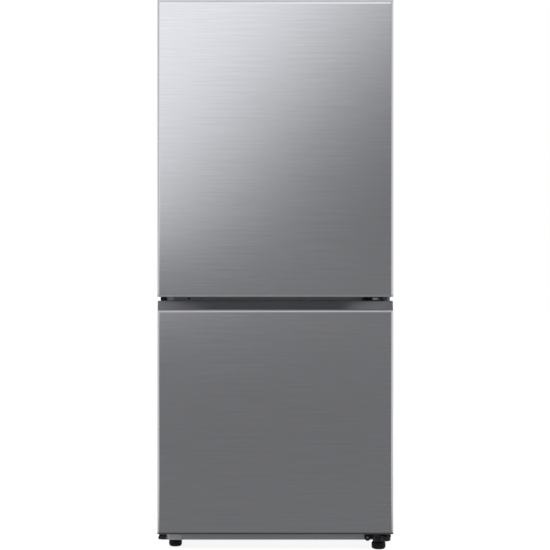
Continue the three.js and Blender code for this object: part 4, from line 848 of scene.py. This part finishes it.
def lowerHinge():
    s = lowerHingeSet
    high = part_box("bottom_hinge")[1]
    back = high.y
    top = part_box("freezer_door_bottom_cap")[0].z - s["plateDrop"]
    footLow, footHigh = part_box("foot_right")
    footX, footY = (footLow.x + footHigh.x) / 2, (footLow.y + footHigh.y) / 2
    sheet, flangeFoot = s["sheet"], s["flangeFoot"]
    rootFar, rootNear, rootOut = s["noseRoot"]
    nose = [(hingeX - rootFar, back), (hingeX - rootNear, back - rootOut)]
    nose += arc(hingeX, hingeY, s["nose"], 200, 340, 14) + [(hingeX + s["nose"], back)]
    plate = prism(nose, "z", top - sheet, top)
    flange = prism(roundedRect(hingeX - s["flangeEnd"], hingeX + s["nose"], flangeFoot, top, s["corner"]),
                   "y", back - sheet, back)
    ringShift, ringDrop, radius, deep, chamfer = s["ring"]
    ringX, ringZ = hingeX + ringShift, top + ringDrop
    ring = lathe((ringX, back, ringZ), (0, -1, 0),
                 [(radius, 0), (radius, deep - chamfer), (radius - chamfer, deep)], 40)
    radius, bottom = s["footBoss"]
    boss = lathe((footX, footY, bottom), (0, 0, 1),
                 [(radius - 0.001, 0), (radius, 0.001), (radius, top - into - bottom)], 48)
    wall, hollow, below = s["footRoom"]
    discRoom = rod("z", radius - wall, below, bottom + hollow, footX, footY, 40)
    studRoom = rod("z", footSet["stud"] + footSet["studRoom"], below, footHigh.z + into, footX, footY, 32)
    radius, height = s["pinBoss"]
    pinBoss = lathe((hingeX, hingeY, top - height), (0, 0, 1),
                    [(radius - 0.004, 0), (radius - 0.001, 0.0012), (radius, 0.004), (radius, height - into)],
                    48)
    webs = [block(x - s["webs"], x + s["webs"], footY, back - into, flangeFoot, top - into)
            for x in (footX - 0.012, footX + 0.012, hingeX + 0.010)]
    radius, play = s["washer"]
    washer = rod("z", radius, top - into, top + s["plateDrop"] - play, hingeX, hingeY, 40)
    radius, chamfer = s["pin"]
    pin = lathe((hingeX, hingeY, top), (0, 0, 1),
                [(radius, 0), (radius, high.z - top - chamfer), (radius - chamfer, high.z - top)], 32)
    radius, deep = s["ringHole"]
    hole = rod("y", radius, back - deep, back + into, ringX, ringZ, 32)
    mesh = fused(plate, flange, ring, boss, pinBoss, washer, pin, *webs)
    mesh = cut(mesh, hole, studRoom, discRoom)
    makePiece("lowerHingeBracket", mesh, "cabinet", slotOf["bottom_hinge"], ["bottom_hinge"], s["edge"], 3)
    *shifts, drop = s["screws"]
    hexScrews("lowerHingeScrews", "cabinet", "black_steel",
              [((hingeX + shift, back - sheet, top + drop), (0, -1, 0)) for shift in shifts], 0.9)


lowerHinge()


# Middle hinge: a plate with its pin, a flange on the rail and a bright stop between the doors

middleHingeSet = {
    "sheet": 0.0032, "plate": 0.004, "nose": 0.011, "corner": 0.003,
    "noseRoot": (0.058, 0.050, 0.010, 0.008),  # as for the lower hinge, and the root on the pin's other side
    "flange": (-0.066, 0.008), "flangeHalf": 0.008,
    "washer": (0.008, 0.0003),  # radius, and play to each door
    "pin": (0.004, 0.001),  # radius and chamfer
    "stop": (-0.028, 0.0100, 0.0036, -0.318, -0.300),  # shift, half width, half height, front and back
    "stopCorner": 0.0012, "stopEdge": 0.0005,
    "screw": -0.052, "edge": 0.0006,
}


def middleHinge():
    s = middleHingeSet
    low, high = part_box("middle_hinge")
    back, centre, tall = high.y, (low.z + high.z) / 2, high.z - low.z
    rootFar, rootNear, rootOut, rootEnd = s["noseRoot"]
    nose = [(hingeX - rootFar, back), (hingeX - rootNear, back - rootOut)]
    nose += arc(hingeX, hingeY, s["nose"], 195, 345, 14) + [(hingeX + rootEnd, back)]
    plate = prism(nose, "z", centre - s["plate"] / 2, centre + s["plate"] / 2)
    flangeStart, flangeEnd = s["flange"]
    flange = prism(roundedRect(hingeX + flangeStart, hingeX + flangeEnd, centre - s["flangeHalf"],
                               centre + s["flangeHalf"], s["corner"]), "y", back - s["sheet"], back)
    radius, chamfer = s["pin"]
    pin = lathe((hingeX, hingeY, low.z), (0, 0, 1), [(radius - chamfer, 0), (radius, chamfer),
                                                     (radius, tall - chamfer), (radius - chamfer, tall)], 32)
    gapLow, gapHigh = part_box("freezer_door_grip_cap")[1].z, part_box("fridge_door_bottom_cap")[0].z
    radius, play = s["washer"]
    washer = rod("z", radius, gapLow + play, gapHigh - play, hingeX, hingeY, 40)
    # The bracket takes the lightened copy of the black coat: painted light in the shaded gap.
    makePiece("middleHingeBracket", fused(plate, flange, pin, washer), "cabinet", slotOf["middle_hinge"],
              ["middle_hinge"], s["edge"], 3, finish="hingeCoatPaintedLight")
    shift, half, rise, front, rear = s["stop"]
    stop = prism(roundedRect(hingeX + shift - half, hingeX + shift + half, centre - rise, centre + rise,
                             s["stopCorner"]), "y", front, rear)
    makePiece("middleHingeStop", stop, "cabinet", "hinge_steel", edge=s["stopEdge"])
    hexScrews("middleHingeScrew", "cabinet", "black_steel",
              [((hingeX + s["screw"], back - s["sheet"], centre), (0, -1, 0))])


middleHinge()


# Rail between the doors: black cover over the hinge holes of the other hand, a lug beside it and a round plug

gapSet = {
    "plugCorner": 0.0022, "plugEdge": 0.0012, "plugHead": 0.0035,  # the head ends that far before the rail
    "neck": (0.0025, 0.002, 0.0015),  # inset of the neck at the sides, the front and above and below
    "slot": (0.0040, 0.0008, 0.0010),  # half length, half height and depth
    "lug": (0.0012, 0.0205, 0.0050, 0.0014), "lugCorner": 0.0015, "lugEdge": 0.0004, "lugScrew": 0.0175,
    "holePlug": (-0.2595, 0.0034, 0.0015),  # place along the rail, radius and rise
    "holePlugRim": (0.0004, 0.0008, 0.0008),  # how far it is sunk, its rim's height and its chamfer
}


def gapPlug():
    low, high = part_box("mid_gap_plug")
    head = prism(roundedRect(low.x, high.x, low.z, high.z, gapSet["plugCorner"]),
                 "y", low.y, high.y - gapSet["plugHead"])
    side, front, edge = gapSet["neck"]
    neck = block(low.x + side, high.x - side, low.y + front, high.y, low.z + edge, high.z - edge)
    x, z = (low.x + high.x) / 2, (low.z + high.z) / 2
    half, thick, depth = gapSet["slot"]
    slot = block(x - half, x + half, low.y - into, low.y + depth, z - thick, z + thick)
    makePiece("gapPlug", cut(fused(head, neck), slot), "cabinet", slotOf["mid_gap_plug"], ["mid_gap_plug"],
              gapSet["plugEdge"], 3)
    side, end, half, thick = gapSet["lug"]
    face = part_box("outer_wrapper")[0].y
    lug = prism(roundedRect(high.x + side, high.x + end, z - half, z + half, gapSet["lugCorner"]),
                "y", face - thick, face)
    # The lug takes the white plastic, paler than the painted grey it stands for, as painted light where light
    # enters the gap from its open end.
    makePiece("railLug", lug, "cabinet", "white_plastic", edge=gapSet["lugEdge"])
    hexScrews("railLugScrew", "cabinet", "hinge_steel",
              [((high.x + gapSet["lugScrew"], face - thick, z), (0, -1, 0))], 0.62)
    (x, radius, rise), (sunk, rim, chamfer) = gapSet["holePlug"], gapSet["holePlugRim"]
    cover = lathe((x, face + sunk, z), (0, -1, 0), [(radius, 0), (radius, rim), (radius - chamfer, rise)], 32)
    makePiece("railHolePlug", cover, "cabinet", "black_plastic")


gapPlug()


# Rubber-topped stop under the free corner of the freezer door

stopSet = {
    "corner": 0.0036, "drop": 0.0057, "edge": 0.0009,
    "posts": ((0.002, 0.0085), (0.0175, 0.022)),  # from the stop's left side
    "postInset": (0.004, 0.006),  # from its front and back, and from its foot
}


def cornerStop():
    low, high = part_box("freezer_door_corner_stop")
    pad = prism(roundedRect(low.x, high.x, low.z, high.z - stopSet["drop"], stopSet["corner"], 8),
                "y", low.y, high.y)
    inset, rise = stopSet["postInset"]
    posts = [block(low.x + start, low.x + end, low.y + inset, high.y - inset, low.z + rise, high.z)
             for start, end in stopSet["posts"]]
    makePiece("freezerDoorCornerStop", fused(pad, *posts), "freezer_door",
              slotOf["freezer_door_corner_stop"], ["freezer_door_corner_stop"], stopSet["edge"], 3)


cornerStop()


# Light moulded block that holds the left foot's stud

bracketSet = {"corner": 0.005, "wall": 0.003, "boss": 0.004, "webs": (-0.009, 0.009), "web": 0.0022,
              "edge": 0.0008}


def footBracket():
    s = bracketSet
    low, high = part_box("foot_bracket_left")
    footLow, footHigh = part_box("foot_left")
    x, y, wall = (footLow.x + footHigh.x) / 2, (footLow.y + footHigh.y) / 2, s["wall"]
    body = prism(roundedRect(low.x, high.x, low.y, high.y, s["corner"]), "z", low.z, high.z)
    room = prism(roundedRect(low.x + wall, high.x - wall, low.y + wall, high.y - wall, s["corner"] - wall),
                 "z", low.z - into, high.z - wall)
    boss = rod("z", footSet["stud"] + s["boss"], low.z, high.z - into, x, y, 32)
    webs = [block(x + shift - s["web"] / 2, x + shift + s["web"] / 2, low.y + into, high.y - into,
                  low.z + into, high.z - into) for shift in s["webs"]]
    bore = rod("z", footSet["stud"] + footSet["studRoom"], low.z - into, high.z + into, x, y, 32)
    makePiece("footBracketLeft", cut(fused(cut(body, room), boss, *webs), bore), "cabinet",
              slotOf["foot_bracket_left"], ["foot_bracket_left"], s["edge"], 2)


footBracket()


# Rolled safety edge along the foot of the base rail, which catches light from the floor

railEdgeSet = {"radius": 0.0019, "drop": 0.0001, "end": 0.001}


def baseRailEdge():
    low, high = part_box("front_base_rail")
    radius, drop, end = railEdgeSet["radius"], railEdgeSet["drop"], railEdgeSet["end"]
    edge = rod("x", radius, low.x + end, high.x - end, low.y + radius, low.z - drop, 24)
    makePiece("baseRailRolledEdge", edge, "cabinet", "silver_paint", angle=40)


baseRailEdge()
print("hinges, feet and stops ready")


# Door gaskets: soft extruded profile with a base, two bellows and the magnet's pocket, mitred at the corners

gasketSet = {
    "profile": [(0.0010, 0.0), (0.0150, 0.0), (0.0158, 0.0014), (0.0122, 0.0026), (0.0140, 0.0040),
                (0.0118, 0.0054), (0.0140, 0.0066), (0.0154, 0.0080), (0.0154, 0.0108), (0.0148, 0.0114),
                (0.0014, 0.0114), (0.0008, 0.0108), (0.0008, 0.0080), (0.0038, 0.0066), (0.0016, 0.0054),
                (0.0040, 0.0040), (0.0020, 0.0026), (0.0002, 0.0014)],  # inset from the outer edge, and depth
}


def doorGasket(name, node, body):
    low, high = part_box(node)
    corners = ((low.x, low.z, 1, 1), (high.x, low.z, -1, 1), (high.x, high.z, -1, -1), (low.x, high.z, 1, -1))
    rings = [[(x + inX * inset, low.y + depth, z + inZ * inset) for inset, depth in gasketSet["profile"]]
             for x, z, inX, inZ in corners]
    makePiece(name, loft(rings, True), body, slotOf[node], [node], angle=55)


doorGasket("fridgeDoorGasket", "fridge_door_gasket", "fridge_door")
doorGasket("freezerDoorGasket", "freezer_door_gasket", "freezer_door")


# Cover of the top hinge: a thin moulding with rounded shoulders that clears the door

coverSet = {
    "wall": 0.002,
    "front": (0.010, 0.010),  # reach and height of the front shoulder
    "back": (0.018, 0.0108),
    "steps": 8,
    "lap": 0.0112,  # height of the part that reaches over the door
    "step": 0.002,  # start of that part before the cabinet
    "open": (0.02, 0.01),  # how far the hollow runs out below it and below the rest
    "screw": 0.040,  # from the back
    "screwFloor": 0.0022,  # above the hinge
    "cup": (0.0075, 0.0016, 0.0018),  # radius, wall and floor of the screw's cup
    "cupTop": 0.0005,
    "edge": 0.0008,
}


def coverOutline(low, high, inset):
    s = coverSet
    front, back, top = low.y + inset, high.y - inset, high.z - inset
    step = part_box("outer_wrapper")[0].y - s["step"]
    belowLap, belowRest = s["open"] if inset else (0, 0)
    lap, foot = low.z + s["lap"] - belowLap, low.z - belowRest
    turns = [math.pi / 2 * i / s["steps"] for i in range(s["steps"] + 1)]
    (frontReach, frontRise), (backReach, backRise) = s["front"], s["back"]
    return ([(back - backReach * (1 - math.cos(a)), top - backRise * (1 - math.sin(a))) for a in turns]
            + [(front + frontReach * (1 - math.sin(a)), top - frontRise * (1 - math.cos(a))) for a in turns]
            + [(front, lap), (step, lap), (step, foot), (back, foot)])


def topHingeCover():
    s = coverSet
    low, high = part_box("top_hinge_cover")
    wall, (radius, cupWall, cupFloor) = s["wall"], s["cup"]
    shell = prism(coverOutline(low, high, 0), "x", low.x, high.x)
    room = prism(coverOutline(low, high, wall), "x", low.x + wall, high.x - wall)
    x, y = (low.x + high.x) / 2, high.y - s["screw"]
    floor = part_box("top_hinge")[1].z + s["screwFloor"]
    cup = rod("z", radius, floor - cupFloor, high.z - s["cupTop"], x, y, 48)
    well = rod("z", radius - cupWall, floor, high.z + into, x, y, 48)
    makePiece("topHingeCover", cut(fused(cut(shell, room), cup), well), "cabinet", slotOf["top_hinge_cover"],
              ["top_hinge_cover"], s["edge"], 3, 40)
    hexScrews("topHingeCoverScrew", "cabinet", "hinge_steel", [((x, y, floor), (0, 0, 1))], 0.75)


topHingeCover()


# Back: screws of the panel and the machine room cover, and the pins of the inlet

backSet = {
    "panelFace": 0.003,  # behind the outer wrapper
    "edgeInset": 0.011, "rows": 6,
    "rowFoot": 0.05, "rowTop": 0.03,  # from the machine room cover and from the top of the panel
    "coverInset": (0.02, 0.0075), "coverColumns": 5,  # inset from the ends and from the back
    "pin": (0.0021, 0.0009),  # half height and half thickness
    "pinReach": (0.0075, 0.0012),  # root and end, before the back of the inlet
    "pinPlaces": ((-0.0070, -0.0022), (0, 0.0022), (0.0070, -0.0022)), "pinEdge": 0.0003,
}


def backFastenings():
    s = backSet
    low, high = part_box("back_panel")
    coverLow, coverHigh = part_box("machine_room_cover")
    foot, top = coverHigh.z + s["rowFoot"], high.z - s["rowTop"]
    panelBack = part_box("outer_wrapper")[1].y + s["panelFace"]
    spots = []
    for row in range(s["rows"]):
        z = foot + (top - foot) * row / (s["rows"] - 1)
        spots += [((x, panelBack, z), (0, 1, 0)) for x in (low.x + s["edgeInset"], high.x - s["edgeInset"])]
    hexScrews("backPanelScrews", "cabinet", "hinge_steel", spots, 0.8)
    end, back = s["coverInset"]
    spots = []
    for column in range(s["coverColumns"]):
        share = column / (s["coverColumns"] - 1)
        x = coverLow.x + end + (coverHigh.x - coverLow.x - 2 * end) * share
        spots.append(((x, coverHigh.y - back, coverHigh.z), (0, 0, 1)))
    hexScrews("machineRoomCoverScrews", "cabinet", "hinge_steel", spots, 0.62)
    inletLow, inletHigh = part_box("mains_inlet")
    x, z = (inletLow.x + inletHigh.x) / 2, (inletLow.z + inletHigh.z) / 2
    (half, thick), (root, tip) = s["pin"], s["pinReach"]
    pins = [block(x + dx - thick, x + dx + thick, inletHigh.y - root, inletHigh.y - tip,
                  z + dz - half, z + dz + half) for dx, dz in s["pinPlaces"]]
    makePiece("mainsInletPins", merged(pins), "cabinet", "hinge_steel", edge=s["pinEdge"])


backFastenings()
print("gaskets, top and back ready")


# Drawers and door bins: thin mouldings with round corners and feet, and draft in their walls

tubSet = {
    "footSteps": 5,
    "cornerSteps": 8,
    "cornerLeast": 0.003,
    "panelCorner": 0.006,
    "gripCorner": 0.010,
    "pocket": (0.014, 0.0012, 0.010),  # inset, depth and corner of the sunk field on a front
    "above": 0.03,  # a height past every rim
    "edge": 0.0009,
    "crisper": {"rise": 0.0, "foot": 0.0, "side": 0.0, "panel": 0.008, "wall": 0.0025, "corner": 0.016,
                "draft": 0.009, "grip": (0.057, 0.024, 0.0053)},  # half width, height and depth of the grip
    "freezer": {"rise": 0.026, "foot": 0.002, "side": 0.013, "panel": 0.014, "wall": 0.0025, "corner": 0.018,
                "draft": 0.011, "grip": (0.085, 0.034, 0.0110),
                "flange": (0.003, 0.038, 0.0015, 0.002)},  # thickness, end before the back, two laps
    "bin": {"wall": 0.0024, "corner": 0.012, "draft": 0.002, "post": 0.0104, "drop": 0.030,
            "windowReach": 0.004, "bead": 0.005, "beadDepth": 0.002, "beadRound": 0.0019, "edge": 0.0006},
}


def tubShell(x0, x1, y0, y1, z0, z1, radius, wall, draft):
    foot = radius * 0.5
    turns = [math.pi / 2 * i / tubSet["footSteps"] for i in range(tubSet["footSteps"] + 1)]

    def ring(z, inset):
        corner = max(radius - inset * 0.6, tubSet["cornerLeast"])
        outline = roundedRect(x0 + inset, x1 - inset, y0 + inset, y1 - inset, corner, tubSet["cornerSteps"])
        return [(x, y, z) for x, y in outline]

    outside = [ring(z0 + foot * (1 - math.cos(turn)), draft + foot * (1 - math.sin(turn))) for turn in turns]
    inside = [ring(z0 + wall + foot * (1 - math.cos(turn)), wall + draft + foot * (1 - math.sin(turn)))
              for turn in reversed(turns)]
    return loft(outside + [ring(z1, 0), ring(z1, wall)] + inside)


def drawer(name, node, kind):
    s = tubSet[kind]
    low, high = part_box(node)
    front, back, side = low.y, low.y + s["panel"], s["side"]
    shell = tubShell(low.x + side, high.x - side, back - s["wall"], high.y, low.z + s["foot"],
                     high.z - s["rise"], s["corner"], s["wall"], s["draft"])
    panel = prism(roundedRect(low.x, high.x, low.z, high.z, tubSet["panelCorner"]), "y", front, back)
    half, tall, deep = s["grip"]
    middle = (low.x + high.x) / 2
    grip = prism(roundedRect(middle - half, middle + half, high.z - tall, high.z + tubSet["above"],
                             tubSet["gripCorner"]), "y", front - into, front + deep)
    inset, sunk, corner = tubSet["pocket"]
    pocket = prism(roundedRect(low.x + inset, high.x - inset, low.z + inset, high.z - tall - inset * 0.6,
                               corner), "y", front - into, front + sunk)
    parts = [cut(panel, grip, pocket)]
    if "flange" in s:
        thick, short, sideLap, frontLap = s["flange"]
        top = high.z - s["rise"]
        for x0, x1 in ((low.x, low.x + side + sideLap), (high.x - side - sideLap, high.x)):
            parts.append(block(x0, x1, back - frontLap, high.y - short, top - thick, top))
    body = node if kind == "freezer" else node + "_drawer"
    makePiece(name, fused(shell, *parts), body, slotOf[node], [node], tubSet["edge"], 2, 40)


def doorBin(name, node):
    s = tubSet["bin"]
    low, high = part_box(node)
    wall, corner = s["wall"], s["corner"]
    shell = tubShell(low.x, high.x, low.y, high.y, low.z, high.z, corner, wall, s["draft"])
    front = high.z - s["drop"]
    window = prism(roundedRect(low.x + s["post"], high.x - s["post"], front, high.z + tubSet["above"],
                               corner), "y", high.y - wall - s["windowReach"], high.y + into)
    bead = prism(roundedRect(high.y - wall - s["beadDepth"], high.y, front - s["bead"], front,
                             s["beadRound"]), "x", low.x + corner, high.x - corner)
    makePiece(name, fused(cut(shell, window), bead), "fridge_door", slotOf[node], [node], s["edge"], 2, 40)


drawer("crisperLeft", "crisper_left", "crisper")
drawer("crisperRight", "crisper_right", "crisper")
drawer("freezerDrawerLow", "freezer_drawer_low", "freezer")
drawer("freezerDrawerMiddle", "freezer_drawer_middle", "freezer")
drawer("freezerDrawerTop", "freezer_drawer_top", "freezer")
doorBin("doorBinLow", "door_bin_1")
doorBin("doorBinMiddle", "door_bin_2")
doorBin("doorBinTop", "door_bin_3")
print("drawers and bins ready")


# The other nodes keep their mesh and get their finish and their edge radii

nodeSet = {
    "weld": 0.00002,
    "edge": 0.0004,
    "thin": {"condenser": 0.0001, "evaporator": 0.0001},  # fins too thin for the usual edge
}


def dressNode(name, node):
    node.data.materials.clear()
    node.data.materials.append(materials[slotOf[name]])
    weld = node.modifiers.new("weld", "WELD")
    weld.merge_threshold = nodeSet["weld"]
    softenEdges(node, nodeSet["thin"].get(name, nodeSet["edge"]), 2, 30)


for name, node in frame["nodes"].items():
    if not node.hide_render:
        dressNode(name, node)
